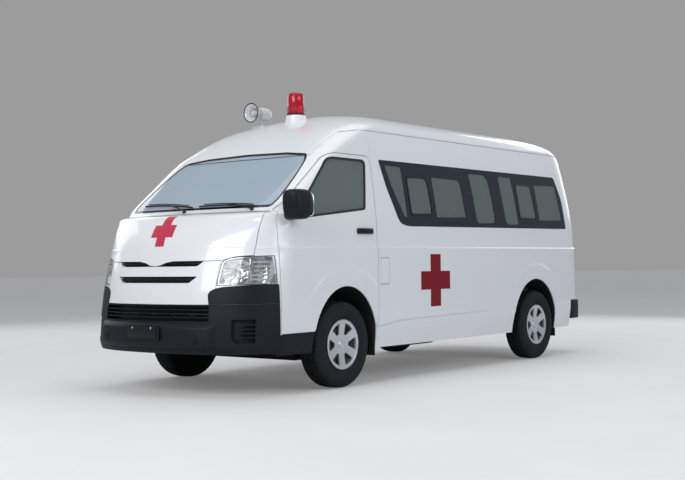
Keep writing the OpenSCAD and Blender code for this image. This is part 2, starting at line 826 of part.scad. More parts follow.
cross_top = hub_z - knuckle_h - arm_t / 2 + 20;
arm_low_z = hub_z - knuckle_h - arm_t / 2;
arm_top_z = hub_z + knuckle_h + arm_t / 2;
rack_y = axle_f - arm_reach;
rack_z = hub_z - 62;
rack_r = 15;
module front_suspension() {
    color("#303338") {
        // Crossmember, hung from the rails on two posts
        box([-rail_x - 32, axle_f - 50, arm_low_z - arm_t / 2 - 10], [rail_x + 32, axle_f + 50, arm_low_z + arm_t / 2 + 10]);
        both_sides() {
            box([rail_x - 20, axle_f - 50, arm_low_z], [rail_x + 20, axle_f + 50, rail_top - rail_h - seat]);
            // Lower and upper arms with their kingpins
            for (s = [-1, 1]) {
                z = hub_z + s * (knuckle_h + arm_t / 2 + 3);
                translate([0, 0, z - arm_t / 2]) linear_extrude(arm_t) polygon([
                    [rail_x + rail_w / 2 + seat, axle_f - 60], [kingpin_x - 40, axle_f - 24],
                    [kingpin_x, axle_f - 24], [kingpin_x, axle_f + 24], [kingpin_x - 40, axle_f + 24],
                    [rail_x + rail_w / 2 + seat, axle_f + 60]
                ]);
                translate([kingpin_x, axle_f, z - arm_t / 2]) cylinder(r = 24, h = arm_t);
                translate([kingpin_x, axle_f, z - s * (arm_t / 2 + 12)]) cylinder(r = pin_r, h = 26, center = true);
            }
            // Bush that the rack slides in
            difference() {
                box([250, rack_y - 28, arm_low_z], [290, axle_f - 45, rack_z + 28]);
                translate([240, rack_y, rack_z]) rotate([0, 90, 0]) cylinder(r = rack_r + seat, h = 60);
            }
        }
    }
}

module knuckle(side) {
    color("#404348") multmatrix([[side, 0, 0, 0], [0, 1, 0, 0], [0, 0, 1, 0], [0, 0, 0, 1]]) difference() {
        union() {
            translate([kingpin_x, axle_f, hub_z]) box([-24, -26, -knuckle_h], [24, 26, knuckle_h]);
            translate([kingpin_x, axle_f, hub_z]) rotate([0, 90, 0]) cylinder(r = stub_r, h = kingpin_inset + 30);
            translate([0, 0, rack_z - 12]) linear_extrude(24) polygon([
                [kingpin_x - 24, axle_f - 20], [kingpin_x + 10, axle_f - 20], [kingpin_x - tip_in + 10, axle_f - arm_reach],
                [kingpin_x - tip_in - 10, axle_f - arm_reach]
            ]);
            translate([kingpin_x - tip_in, axle_f - arm_reach, rack_z]) cylinder(r = tip_r, h = 40, center = true);
        }
        for (s = [-1, 1]) translate([kingpin_x, axle_f, hub_z + s * knuckle_h])
            cylinder(r = pin_r + seat, h = 60, center = true);
    }
}

module steering_rack() {
    reach = kingpin_x - tip_in - tip_r - 34;
    color("silver") translate([0, rack_y, rack_z]) {
        rotate([0, 90, 0]) cylinder(r = rack_r, h = 2 * reach, center = true);
        both_sides() translate([reach, 0, 0]) cylinder(r = rack_r + 1, h = 36, center = true);
    }
}

engine_low = hub_z - 18;
module engine() {
    color("#5a5d60") {
        box([-260, axle_f + 60, engine_low], [260, axle_f + 430, platform_z - floor_t - 20]);
        // Mounts on the rails
        both_sides() box([250, axle_f + 200, rail_top - 70], [rail_x - rail_w / 2 - seat, axle_f + 260, rail_top - 20]);
    }
}

module driveline() {
    color("#6a6d70") {
        translate([0, axle_f + 430 + seat, hub_z + 20]) rotate([-90, 0, 0]) cylinder(r1 = 140, r2 = 90, h = 400);
        translate([0, axle_f + 820, hub_z + 60]) rotate([-90, 0, 0]) cylinder(r = 70, h = 180);
        shaft_from = [0, axle_f + 980, hub_z + 55];
        shaft_to = [0, axle_r - 128 - seat, hub_z];
        run = shaft_to - shaft_from;
        translate(shaft_from) rotate([-90 + atan2(run[2], run[1]), 0, 0]) cylinder(r = 34, h = norm(run) - 10);
    }
}

spring_x = 560;
spring_in_top = hub_z + 62;
module rear_axle() {
    color("#3a3d40") {
        translate([0, axle_r, hub_z]) rotate([0, 90, 0]) cylinder(r = 45, h = 2 * (track / 2 - 60), center = true);
        translate([0, axle_r, hub_z]) rotate([0, 90, 0]) rotate_extrude()
            polygon([[0, -110], [60, -110], [125, -45], [125, 45], [60, 110], [0, 110]]);
        translate([0, axle_r, hub_z]) rotate([0, 90, 0]) cylinder(r = stub_r, h = track + 60, center = true);
        // Brake drums and the saddles under the springs
        both_sides() {
            translate([track / 2 - 95, axle_r, hub_z]) rotate([0, 90, 0]) cylinder(r = 130, h = 55, center = true);
            box([spring_x - 38, axle_r - 60, hub_z], [spring_x + 38, axle_r + 60, spring_in_top - seat]);
        }
    }
}

spring_r = 2400;
spring_t = 34;
spring_half = 620;
module leaf_springs() {
    rise = spring_r - sqrt(spring_r * spring_r - spring_half * spring_half);
    color("#26282b") both_sides() {
        intersection() {
            translate([spring_x - 32, axle_r, spring_in_top + spring_r]) rotate([0, 90, 0]) difference() {
                cylinder(r = spring_r, h = 64, $fn = 200);
                translate([0, 0, -1]) cylinder(r = spring_r - spring_t, h = 66, $fn = 200);
            }
            box([0, axle_r - spring_half, hub_z], [half, axle_r + spring_half, spring_in_top + rise + spring_t]);
        }
        // Hangers down from the rails
        for (s = [-1, 1]) translate([0, axle_r + s * (spring_half - 30), 0])
            box([rail_x + rail_w / 2 + seat, -30, spring_in_top + rise - 60], [spring_x + 32, 30, rail_top - 12]);
    }
}

module fuel_tank() {
    y0 = axle_f + 780;
    color("#1c1e21") {
        translate([0, y0, 0]) hull() both_at([rail_x + rail_w / 2 + 70, half - 150], [300, 500]) rotate([-90, 0, 0])
            cylinder(r = 40, h = 620, $fn = 32);
        for (y = [y0 + 120, y0 + 440]) box([rail_x + rail_w / 2 + seat, y, 480], [rail_x + rail_w / 2 + 60, y + 40, 540]);
    }
}
module both_at(xs, zs) {
    for (x = xs) for (z = zs) translate([x, 0, z]) children();
}

exhaust_x = -640;
module exhaust() {
    y0 = axle_f + 900;
    y1 = axle_r - 640;
    color("#8a8d90") {
        translate([exhaust_x, y0, 400]) rotate([-90, 0, 0]) cylinder(r = 85, h = 620);
        translate([exhaust_x, y0 - 300, 400]) rotate([-90, 0, 0]) cylinder(r = 26, h = y1 - y0 + 300);
        translate([exhaust_x - 190, y1, 400]) rotate([0, 90, 0]) cylinder(r = 26, h = 190);
        for (y = [y0 + 100, y0 + 480]) box([exhaust_x - 12, y, 470], [exhaust_x + 12, y + 30, floor_top - floor_t - seat]);
    }
}

spare_y = axle_r + 550;
module spare_wheel() {
    color("#17181a") translate([0, spare_y, rail_top - rail_h - 20 - tyre_w]) {
        difference() {
            cylinder(r = tyre_r - 8, h = tyre_w - 10);
            translate([0, 0, 40]) cylinder(r = rim_r - 20, h = tyre_w);
        }
        cylinder(r = 26, h = tyre_w + 40 - seat);
    }
}

// ---- Wheels ----
rim_w = tyre_w * 0.78;
module tyre(x, y) {
    side = x > 0 ? 1 : -1;
    color("#17181a") translate([x, y, hub_z]) rotate([0, 90, 0]) rotate_extrude($fn = 96) polygon([
        [rim_r, -rim_w / 2], [rim_r + 8, -rim_w / 2 - 4], [rim_r + 40, -tyre_w / 2], [tyre_r - 44, -tyre_w / 2],
        [tyre_r - 12, -tyre_w / 2 + 14], [tyre_r, -tyre_w / 2 + 34], [tyre_r, tyre_w / 2 - 34],
        [tyre_r - 12, tyre_w / 2 - 14], [tyre_r - 44, tyre_w / 2], [rim_r + 40, tyre_w / 2],
        [rim_r + 8, rim_w / 2 + 4], [rim_r, rim_w / 2]
    ]);
}
module wheel(x, y) {
    side = x > 0 ? 1 : -1;
    color("#b9c2c8") translate([x, y, hub_z]) rotate([0, side * 90, 0]) difference() {
        union() {
            rotate_extrude($fn = 96) polygon([
                [0, 20], [stub_r + 30, 20], [rim_r - 26, 34], [rim_r - 20, -rim_w / 2 + 6], [rim_r, -rim_w / 2],
                [rim_r, rim_w / 2 + 10], [rim_r - 14, rim_w / 2 + 8], [rim_r - 60, 52], [60, 62], [0, 62]
            ]);
            translate([0, 0, -kingpin_inset + 26 + 4]) cylinder(r = stub_r + 26, h = kingpin_inset);
        }
        translate([0, 0, -100]) cylinder(r = stub_r + seat, h = 100 + 31);
        for (a = [0:60:300]) rotate([0, 0, a]) translate([112, 0, 10]) cylinder(r = 24, h = 90);
    }
}

// ---- Inside ----
steer_x = 400;
wheel_lean = 38;
module steering_place() {
    translate([steer_x, axle_f - 420, 1165]) rotate([-wheel_lean, 0, 0]) children();
}
// The front corner of a door swings in past the dashboard's ends as it opens
dash_clear = 34;
// Room for the bonnet's rear corners, which swing down as it opens
bonnet_sweep_r = 150;
module dashboard() {
    color("#4a4d50") {
        difference() {
            intersection() {
                translate([-half, 0, 0]) rotate([90, 0, 90]) linear_extrude(body_w) polygon([
                    [front_y + 250, 760], [front_y + 250, cowl_z], [front_y + 520, cowl_z - 50],
                    [axle_f - 640, 1275], [axle_f - 620, 1080], [axle_f - 640, 860], [axle_f - 860, 760]
                ]);
                solid(wall + dash_clear, wall);
                box([-half + wall + 30, front_y, 0], [half - wall - 30, door_front_y + 300, roof_h]);
            }
            translate([0, bonnet_hinge_y, bonnet_hinge_z]) rotate([0, 90, 0])
                cylinder(r = bonnet_sweep_r, h = body_w, center = true);
        }
        // Steering column, and the posts that stand on the floor
        steering_place() translate([0, 0, -470]) cylinder(r = 26, h = 470 - 22 - seat);
        both_sides() box([half - 260, front_y + 400, floor_top + seat], [half - 200, front_y + 450, 900]);
    }
}

module steering_wheel() {
    color("#1b1c1f") steering_place() {
        rotate_extrude() translate([180, 0]) circle(r = 15);
        translate([0, 0, -22]) cylinder(r = 60, h = 34);
        for (a = [0, 120, 240]) rotate([0, 0, a + 90]) translate([0, -14, -14]) cube([182, 28, 14]);
    }
}

seat_w = 480;
module seat_at(x, w) {
    y0 = axle_f - 190;
    z0 = platform_z + seat;
    hull() for (dx = [40, w - 40]) for (dy = [40, 440])
        translate([x + dx, y0 + dy, z0 + 60]) cylinder(r = 40, h = 120, $fn = 32);
    box([x + 60, y0 + 40, z0], [x + w - 60, y0 + 440, z0 + 61]);
    translate([x, y0 + 420, z0 + 120]) rotate([-14, 0, 0]) hull() for (dx = [40, w - 40]) for (dz = [40, 560])
        translate([dx, 0, dz]) rotate([-90, 0, 0]) cylinder(r = 40, h = 100, $fn = 32);
    translate([x + w / 2, y0 + 420, z0 + 120]) rotate([-14, 0, 0]) {
        box([-70, 40, 560], [70, 60, 680]);
        box([-120, 10, 640], [120, 90, 790]);
    }
}
module front_seats() {
    color("#55585c") {
        seat_at(steer_x - seat_w / 2, seat_w);
        seat_at(-steer_x - seat_w / 2 - 30, seat_w);
    }
}
module attendant_bench() {
    color("#5d6166") {
        box([-platform_w + 40, axle_f + 1600, floor_top + seat], [-platform_w + 420, axle_r - 620, floor_top + 340]);
        hull() for (x = [-platform_w + 70, -platform_w + 400]) for (y = [axle_f + 1630, axle_r - 650])
            translate([x, y, floor_top + 340 + seat]) cylinder(r = 30, h = 90, $fn = 32);
    }
}

roof();
side_panel_left();
side_panel_right();
front_body();
floor();
sliding_door();
windscreen();
side_windows();
front_bumper();
grille();
headlamps();
tail_lamps();
rear_bumper();
wipers();
mud_flaps();
hinge_pins();
beacon_base();
beacon_lens();
siren_horn();
chassis_frame();
front_suspension();
engine();
driveline();
rear_axle();
leaf_springs();
fuel_tank();
exhaust();
spare_wheel();
dashboard();
front_seats();
attendant_bench();
front_door(1);  // front_door_left
door_window(1);  // door_window_left
mirror_left();
front_door(-1);  // front_door_right
door_window(-1);  // door_window_right
tailgate();
tailgate_window();
bonnet();
fuel_flap();
steering_rack();
knuckle(1);  // knuckle_left
knuckle(-1);  // knuckle_right
steering_wheel();
beacon_reflector();
tyre(track / 2, axle_f);  // tyre_front_left
tyre(-track / 2, axle_f);  // tyre_front_right
tyre(track / 2, axle_r);  // tyre_rear_left
tyre(-track / 2, axle_r);  // tyre_rear_right
wheel(track / 2, axle_f);  // wheel_front_left
wheel(-track / 2, axle_f);  // wheel_front_right
wheel(track / 2, axle_r);  // wheel_rear_left
wheel(-track / 2, axle_r);  // wheel_rear_right
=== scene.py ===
import json
import math

import bmesh
import bpy
import numpy as np
from mathutils import Euler, Matrix, Vector

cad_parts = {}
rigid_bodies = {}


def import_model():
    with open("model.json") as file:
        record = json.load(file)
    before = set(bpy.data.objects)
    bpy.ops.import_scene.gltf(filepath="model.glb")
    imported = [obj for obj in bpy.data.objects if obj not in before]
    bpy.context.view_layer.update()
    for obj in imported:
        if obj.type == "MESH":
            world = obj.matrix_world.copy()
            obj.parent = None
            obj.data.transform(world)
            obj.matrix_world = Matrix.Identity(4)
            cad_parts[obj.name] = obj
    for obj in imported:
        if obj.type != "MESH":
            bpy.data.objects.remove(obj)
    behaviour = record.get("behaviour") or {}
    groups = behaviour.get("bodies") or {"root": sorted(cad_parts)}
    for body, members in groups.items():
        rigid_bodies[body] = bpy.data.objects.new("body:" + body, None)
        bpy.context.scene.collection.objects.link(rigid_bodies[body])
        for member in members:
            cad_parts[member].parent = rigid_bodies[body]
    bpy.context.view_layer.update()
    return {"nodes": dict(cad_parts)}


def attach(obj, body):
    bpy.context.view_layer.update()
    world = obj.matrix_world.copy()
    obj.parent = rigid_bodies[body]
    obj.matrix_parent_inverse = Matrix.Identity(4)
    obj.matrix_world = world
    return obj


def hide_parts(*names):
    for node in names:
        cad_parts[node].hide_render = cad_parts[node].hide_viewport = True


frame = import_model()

MM = 0.001
scene = bpy.context.scene

# ---------------------------------------------------------------- camera
AZIMUTH, PITCH, ROLL = math.radians(37.911), math.radians(1.431), math.radians(-0.689)
cam_data = bpy.data.cameras.new("camera")
cam = bpy.data.objects.new("camera", cam_data)
scene.collection.objects.link(cam)
look = Vector((-math.sin(AZIMUTH) * math.cos(PITCH), math.cos(AZIMUTH) * math.cos(PITCH), math.sin(PITCH)))
right = Vector((math.cos(AZIMUTH), math.sin(AZIMUTH), 0))
up = right.cross(look)
right_r = right * math.cos(ROLL) + up * math.sin(ROLL)
up_r = up * math.cos(ROLL) - right * math.sin(ROLL)
cam.matrix_world = Matrix((
    (right_r.x, up_r.x, -look.x, 6.423),
    (right_r.y, up_r.y, -look.y, -8.453),
    (right_r.z, up_r.z, -look.z, 0.980),
    (0, 0, 0, 1),
))
cam_data.sensor_width = 36
cam_data.lens = 1134.69 * 36 / 685
cam_data.shift_x = -0.0117
cam_data.shift_y = -0.0091
scene.camera = cam
scene.view_settings.view_transform = "Standard"

# ---------------------------------------------------------------- body surface
ROOF_H, BODY_W = 2285.0, 1880.0
HALF = BODY_W / 2
FRONT_Y, REAR_Y = -2690.0, 2690.0
AXLE_F, AXLE_R = -1490.0, 1620.0
HUB_Z, TYRE_R, TYRE_W, TRACK, RIM_R = 338.0, 338.0, 195.0, 1655.0, 192.0
SILL_Z, CREASE_Z, COWL_Z, GLASS_LOW_Z, BELT_H = 285.0, 1092.0, 1375.0, 1400.0, 1310.0
HEADER_Z, SEAM_Z = ROOF_H - 438, ROOF_H - 225
WINDOW_TOP_Z, TAILGATE_TOP_Z = ROOF_H - 462, ROOF_H - 235
DOOR_FRONT_Y, DOOR_REAR_Y = AXLE_F - 738, AXLE_F + 440
HEADER_SETBACK, ROOF_FRONT_RUN, ROOF_REAR_RUN = 1080.0, 1120.0, 1330.0
TAIL_SETBACK, TAIL_LEAN_Z, TAIL_LEAN = 80.0, 1100.0, 170.0
TAIL_CROWN_Z = ROOF_H - 335
TAIL_RUN, TAIL_POWER = 300.0, 4.0
WALL, ROOF_T = 55.0, 40.0


def smooth_table(rows):
    """A monotone cubic through the rows, resampled finely."""
    x = np.array([r[0] for r in rows], float)
    y = np.array([r[1] for r in rows], float)
    h = np.diff(x)
    d = np.diff(y) / h
    m = np.zeros(len(x))
    for i in range(1, len(x) - 1):
        if d[i - 1] * d[i] > 0:
            a, b = 2 * h[i] + h[i - 1], h[i] + 2 * h[i - 1]
            m[i] = (a + b) / (a / d[i - 1] + b / d[i])
    m[0], m[-1] = d[0], d[-1]
    fine = np.linspace(x[0], x[-1], 4000)
    k = np.clip(np.searchsorted(x, fine, side="right") - 1, 0, len(x) - 2)
    t = (fine - x[k]) / h[k]
    value = ((1 + 2 * t) * (1 - t) ** 2 * y[k] + t * (1 - t) ** 2 * h[k] * m[k]
             + t * t * (3 - 2 * t) * y[k + 1] + t * t * (t - 1) * h[k] * m[k + 1])
    return lambda z: np.interp(z, fine, value)


nose = smooth_table([(SILL_Z - 300, 35), (SILL_Z, 30), (390, 0), (545, 0), (684, 13), (886, 54), (1050, 104),
                     (1120, 129), (1200, 174), (1280, 239), (1345, 314), (COWL_Z, 440), (GLASS_LOW_Z, 485)])
side_inset = smooth_table([(SILL_Z - 300, 60), (SILL_Z, 34), (500, 5), (800, 0), (CREASE_Z, 0),
                           (CREASE_Z + 12, 8), (BELT_H, 18), (HEADER_Z, 73), (SEAM_Z, 105)])
corner_run = smooth_table([(SILL_Z, 500), (684, 545), (1040, 540), (1280, 420), (COWL_Z, 330),
                           (HEADER_Z, 270), (SEAM_Z, 350), (ROOF_H, 460)])
corner_power = smooth_table([(SILL_Z, 2.4), (684, 2.2), (1040, 2.2), (1280, 2.4), (1345, 2.6), (COWL_Z, 3.1),
                             (1440, 4.2), (1600, 5), (HEADER_Z, 7), (HEADER_Z + 90, 5.2), (SEAM_Z, 4), (ROOF_H, 2.6)])


def front_at(z):
    z = np.asarray(z, float)
    low = FRONT_Y + nose(z)
    glass = FRONT_Y + np.interp(z, [GLASS_LOW_Z, HEADER_Z], [485, HEADER_SETBACK])
    rise = np.clip(1 - (z - HEADER_Z) / (ROOF_H - HEADER_Z), 0, None)
    high = FRONT_Y + HEADER_SETBACK + ROOF_FRONT_RUN * (1 - np.sqrt(rise))
    return np.where(z < GLASS_LOW_Z, low, np.where(z < HEADER_Z, glass, high))


def rear_at(z):
    z = np.asarray(z, float)
    lean = np.clip((z - TAIL_LEAN_Z) / (TAIL_CROWN_Z - TAIL_LEAN_Z), 0, 1)
    low = REAR_Y - TAIL_SETBACK - TAIL_LEAN * lean ** 1.4
    t = np.clip((z - TAIL_CROWN_Z) / (ROOF_H - TAIL_CROWN_Z), 0, 1)
    high = REAR_Y - TAIL_SETBACK - TAIL_LEAN - ROOF_REAR_RUN * (1 - (1 - t ** 2.2) ** (1 / 2.2))
    return np.where(z < TAIL_CROWN_Z, low, high)


def half_at(z):
    z = np.asarray(z, float)
    t = np.clip((z - SEAM_Z) / (ROOF_H - SEAM_Z), 0, 1)
    return np.where(z < SEAM_Z, HALF - side_inset(z), (HALF - 105) * (1 - t * t) ** 0.55)


def ring(z, d, n_front=28, n_rear=14):
    w, run, p = float(half_at(z)) - d, float(corner_run(z)), float(corner_power(z))
    w = max(w, 0.5)
    f = float(front_at(z)) + d
    s = f + run - d / 2
    a = np.linspace(0, math.pi / 2, n_front + 1)
    front = np.stack([w * np.sin(a) ** (2 / p), s - (s - f) * np.cos(a) ** (2 / p)], 1)
    r = float(rear_at(z)) - d
    s2 = r - TAIL_RUN + d / 2
    a = np.linspace(0, math.pi / 2, n_rear + 1)
    rear = np.stack([w * np.cos(a) ** (2 / TAIL_POWER), s2 + (r - s2) * np.sin(a) ** (2 / TAIL_POWER)], 1)
    half_ring = np.concatenate([front, rear])
    mirror = half_ring[1:-1][::-1] * [-1, 1]
    return np.concatenate([half_ring, mirror])


LEVELS = np.concatenate([
    np.arange(SILL_Z, CREASE_Z - 8, 14), np.arange(CREASE_Z - 6, CREASE_Z + 20, 3),
    np.arange(CREASE_Z + 26, GLASS_LOW_Z - 4, 10), np.arange(GLASS_LOW_Z, HEADER_Z - 10, 24),
    np.arange(HEADER_Z, SEAM_Z - 5, 12),
    SEAM_Z + (ROOF_H - SEAM_Z) * np.sin(np.radians(np.linspace(0, 88.6, 46))),
])


def implicit(x, y, z):
    """Below 1 inside the body surface, 1 on it."""
    w, run, p = half_at(z), corner_run(z), corner_power(z)
    ax = np.abs(x) / np.maximum(w, 1.0)
    tf = np.clip((front_at(z) + run - y) / run, 0, None)
    tr = np.clip((y - rear_at(z) + TAIL_RUN) / TAIL_RUN, 0, None)
    front = (ax ** p + tf ** p) ** (1 / p)
    rear = (ax ** TAIL_POWER + tr ** TAIL_POWER) ** (1 / TAIL_POWER)
    return np.where(tr > 0, rear, front)


def surface_normals(points):
    """Outward normals and depths below the surface, in mm, at an n x 3 array of points."""
    x, y, z = points.T
    h = 1.5
    g = np.stack([
        implicit(x + h, y, z) - implicit(x - h, y, z),
        implicit(x, y + h, z) - implicit(x, y - h, z),
        implicit(x, y, z + h) - implicit(x, y, z - h),
    ], 1) / (2 * h)
    size = np.linalg.norm(g, axis=1)
    size[size == 0] = 1
    return g / size[:, None], (1 - implicit(x, y, z)) / size


def side_x(y, z):
    run, p = float(corner_run(z)), float(corner_power(z))
    t = min(1.0, max(0.0, float(front_at(z)) + run - y) / run)
    tr = min(1.0, max(0.0, y - float(rear_at(z)) + TAIL_RUN) / TAIL_RUN)
    return float(half_at(z)) * (1 - t ** p) ** (1 / p) * (1 - tr ** TAIL_POWER) ** (1 / TAIL_POWER)


def nose_y(x, z):
    run, p = float(corner_run(z)), float(corner_power(z))
    t = min(1.0, abs(x) / float(half_at(z)))
    return float(front_at(z)) + run - run * (1 - t ** p) ** (1 / p)


def tail_y(x, z):
    t = min(1.0, abs(x) / float(half_at(z)))
    return float(rear_at(z)) - TAIL_RUN + TAIL_RUN * (1 - t ** TAIL_POWER) ** (1 / TAIL_POWER)


def roof_z(x, y):
    lo, hi = SEAM_Z - 200, ROOF_H - 0.01
    for _ in range(40):
        mid = (lo + hi) / 2
        if implicit(np.float64(x), np.float64(y), np.float64(mid)) < 1:
            lo = mid
        else:
            hi = mid
    return lo


# ---------------------------------------------------------------- mesh helpers
cutters = bpy.data.collections.new("cutters")
scene.collection.children.link(cutters)


def mesh_object(name, verts, faces, where=None):
    me = bpy.data.meshes.new(name)
    me.from_pydata([tuple(v) for v in verts], [], [tuple(f) for f in faces])
    me.update()
    ob = bpy.data.objects.new(name, me)
    (where or scene.collection).objects.link(ob)
    return ob


def outward(ob):
    bm = bmesh.new()
    bm.from_mesh(ob.data)
    bmesh.ops.recalc_face_normals(bm, faces=bm.faces)
    bm.to_mesh(ob.data)
    bm.free()
    return ob


def body_solid(d, drop, low=None):
    """The solid inside the body surface, set in by d and down by drop under the roof."""
    zs = [z for z in LEVELS if low is None or z > low]
    if low is not None:
        zs = [low] + zs
    verts, faces, rings = [], [], []
    for z in zs:
        shift = drop * min(1, max(0, (z - HEADER_Z) / 200))
        points = ring(z, d)
        rings.append(len(verts))
        verts += [(p[0] * MM, p[1] * MM, (z - shift) * MM) for p in points]
    n = len(ring(LEVELS[3], d))
    for a, b in zip(rings, rings[1:]):
        for i in range(n):
            j = (i + 1) % n
            faces.append((a + i, a + j, b + j, b + i))
    faces.append(tuple(range(rings[0], rings[0] + n))[::-1])
    faces.append(tuple(range(rings[-1], rings[-1] + n)))
    return outward(mesh_object("solid", verts, faces, cutters))


def area2(points):
    return sum(a[0] * b[1] - b[0] * a[1] for a, b in zip(points, points[1:] + points[:1]))


def grow(points, delta):
    """The outline moved outwards by delta, with mitred corners."""
    if not delta:
        return list(points)
    points = list(points)
    sign = 1 if area2(points) > 0 else -1
    out = []
    n = len(points)
    for i in range(n):
        a, b, c = Vector(points[i - 1]), Vector(points[i]), Vector(points[(i + 1) % n])
        u, v = (b - a).normalized(), (c - b).normalized()
        nu, nv = Vector((u.y, -u.x)) * sign, Vector((v.y, -v.x)) * sign
        m = nu + nv
        scale = 2 / max(0.35, m.length_squared)
        out.append(tuple(b + m * delta * scale))
    return out


def fillet(points, radius, steps=6):
    """The outline with rounded corners; radius is one number or one for each corner."""
    out = []
    n = len(points)
    radii = radius if isinstance(radius, (list, tuple)) else [radius] * n
    for i in range(n):
        a, b, c = Vector(points[i - 1]), Vector(points[i]), Vector(points[(i + 1) % n])
        r = radii[i]
        if r <= 0:
            out.append(tuple(b))
            continue
        u, v = (a - b), (c - b)
        reach = min(r, u.length * 0.48, v.length * 0.48)
        p, q = b + u.normalized() * reach, b + v.normalized() * reach
        for k in range(steps + 1):
            t = k / steps
            out.append(tuple(p * (1 - t) ** 2 + b * 2 * t * (1 - t) + q * t * t))
    return out


def prism(points, place, low, high, name="prism"):
    n = len(points)
    verts = [place(p, low) for p in points] + [place(p, high) for p in points]
    faces = [tuple(range(n)), tuple(range(2 * n - 1, n - 1, -1))]
    faces += [(i, n + i, n + (i + 1) % n, (i + 1) % n) for i in range(n)]
    return outward(mesh_object(name, [Vector(v) * MM for v in verts], faces, cutters))


def side_cut(points, side=1, start=300, stop=1100):
    return prism(points, lambda p, t: (side * t, p[0], p[1]), start, stop)


def front_cut(points, start, stop):
    return prism(points, lambda p, t: (p[0], t, p[1]), start, stop)


def top_cut(points, low, high):
    return prism(points, lambda p, t: (p[0], p[1], t), low, high)


def box_cut(low, high):
    return prism([(low[0], low[1]), (high[0], low[1]), (high[0], high[1]), (low[0], high[1])],
                 lambda p, t: (p[0], p[1], t), low[2], high[2])


def both(points):
    return [(-x, y) for x, y in points]


def carve(name, base, *steps):
    """A new object: base after a chain of ("INTERSECT" | "DIFFERENCE" | "UNION", cutter) steps."""
    ob = bpy.data.objects.new(name, base.data.copy())
    scene.collection.objects.link(ob)
    for op, cutter in steps:
        mod = ob.modifiers.new("cut", "BOOLEAN")
        mod.operation = op
        mod.object = cutter
        mod.solver = "MANIFOLD"
    graph = bpy.context.evaluated_depsgraph_get()
    graph.update()
    me = bpy.data.meshes.new_from_object(ob.evaluated_get(graph))
    ob.modifiers.clear()
    old = ob.data
    ob.data = me
    bpy.data.meshes.remove(old)
    me.name = name
    return ob


def union(*objects):
    """One cutter out of several that don't overlap."""
    bm = bmesh.new()
    for ob in objects:
        bm.from_mesh(ob.data)
    me = bpy.data.meshes.new("many")
    bm.to_mesh(me)
    bm.free()
    ob = bpy.data.objects.new("many", me)
    cutters.objects.link(ob)
    return ob


def surface_shading(ob, inner_slot=None):
    """Smooth normals from the body surface on the faces that lie along it; the cut edges stay flat."""
    me = ob.data
    n_loops = len(me.loops)
    vert_of = np.zeros(n_loops, int)
    me.loops.foreach_get("vertex_index", vert_of)
    co = np.zeros(len(me.vertices) * 3)
    me.vertices.foreach_get("co", co)
    co = co.reshape(-1, 3) * 1000
    normals, depth = surface_normals(co)
    face_n = np.zeros(len(me.polygons) * 3)
    me.polygons.foreach_get("normal", face_n)
    face_n = face_n.reshape(-1, 3)
    starts = np.zeros(len(me.polygons), int)
    totals = np.zeros(len(me.polygons), int)
    me.polygons.foreach_get("loop_start", starts)
    me.polygons.foreach_get("loop_total", totals)
    face_of = np.repeat(np.arange(len(totals)), totals)
    loop_n = face_n[face_of].copy()
    along = (loop_n * normals[vert_of]).sum(1)
    good = np.abs(along) > 0.8
    ok = np.ones(len(totals), bool)
    np.logical_and.at(ok, face_of, good)
    spread = np.zeros(len(totals))
    low = np.full(len(totals), 1e9)
    np.maximum.at(spread, face_of, depth[vert_of])
    np.minimum.at(low, face_of, depth[vert_of])
    ok &= (spread - low) < 14
    use = ok[face_of]
    sign = np.sign(along)
    loop_n[use] = normals[vert_of][use] * sign[use, None]
    me.polygons.foreach_set("use_smooth", np.ones(len(totals), bool))
    me.normals_split_custom_set([tuple(v) for v in loop_n])
    if inner_slot is not None:
        mean_sign = np.zeros(len(totals))
        np.add.at(mean_sign, face_of, sign)
        index = np.where(ok & (mean_sign < 0) & (low > 20), 1, 0).astype(np.int32)
        me.polygons.foreach_set("material_index", index)
    me.update()


def shade_smooth(ob, angle=35):
    me = ob.data
    me.polygons.foreach_set("use_smooth", np.ones(len(me.polygons), bool))
    bm = bmesh.new()
    bm.from_mesh(me)
    limit = math.radians(angle)
    for e in bm.edges:
        if len(e.link_faces) == 2 and e.calc_face_angle(0) > limit:
            e.smooth = False
    bm.to_mesh(me)
    bm.free()


# ---------------------------------------------------------------- materials
def new_material(name):
    mat = bpy.data.materials.new(name)
    mat.use_nodes = True
    nt = mat.node_tree
    return mat, nt, nt.nodes["Principled BSDF"]


def noise_node(nt, scale, detail=4, rough=0.55, stretch=None):
    coord = nt.nodes.new("ShaderNodeTexCoord")
    noise = nt.nodes.new("ShaderNodeTexNoise")
    noise.inputs["Scale"].default_value = scale
    noise.inputs["Detail"].default_value = detail
    noise.inputs["Roughness"].default_value = rough
    if stretch:
        mapping = nt.nodes.new("ShaderNodeMapping")
        mapping.inputs["Scale"].default_value = stretch
        nt.links.new(coord.outputs["Object"], mapping.inputs["Vector"])
        nt.links.new(mapping.outputs["Vector"], noise.inputs["Vector"])
    else:
        nt.links.new(coord.outputs["Object"], noise.inputs["Vector"])
    return noise


def ramp_between(nt, source, a, b, low=0.3, high=0.7):
    ramp = nt.nodes.new("ShaderNodeValToRGB")
    ramp.color_ramp.elements[0].position = low
    ramp.color_ramp.elements[1].position = high
    ramp.color_ramp.elements[0].color = (*a, 1)
    ramp.color_ramp.elements[1].color = (*b, 1)
    nt.links.new(source, ramp.inputs["Fac"])
    return ramp.outputs["Color"]


def map_range(nt, source, low, high):
    node = nt.nodes.new("ShaderNodeMapRange")
    node.inputs["To Min"].default_value = low
    node.inputs["To Max"].default_value = high
    nt.links.new(source, node.inputs["Value"])
    return node.outputs["Result"]


def bump(nt, bsdf, source, strength, distance):
    node = nt.nodes.new("ShaderNodeBump")
    node.inputs["Strength"].default_value = strength
    node.inputs["Distance"].default_value = distance
    nt.links.new(source, node.inputs["Height"])
    nt.links.new(node.outputs["Normal"], bsdf.inputs["Normal"])


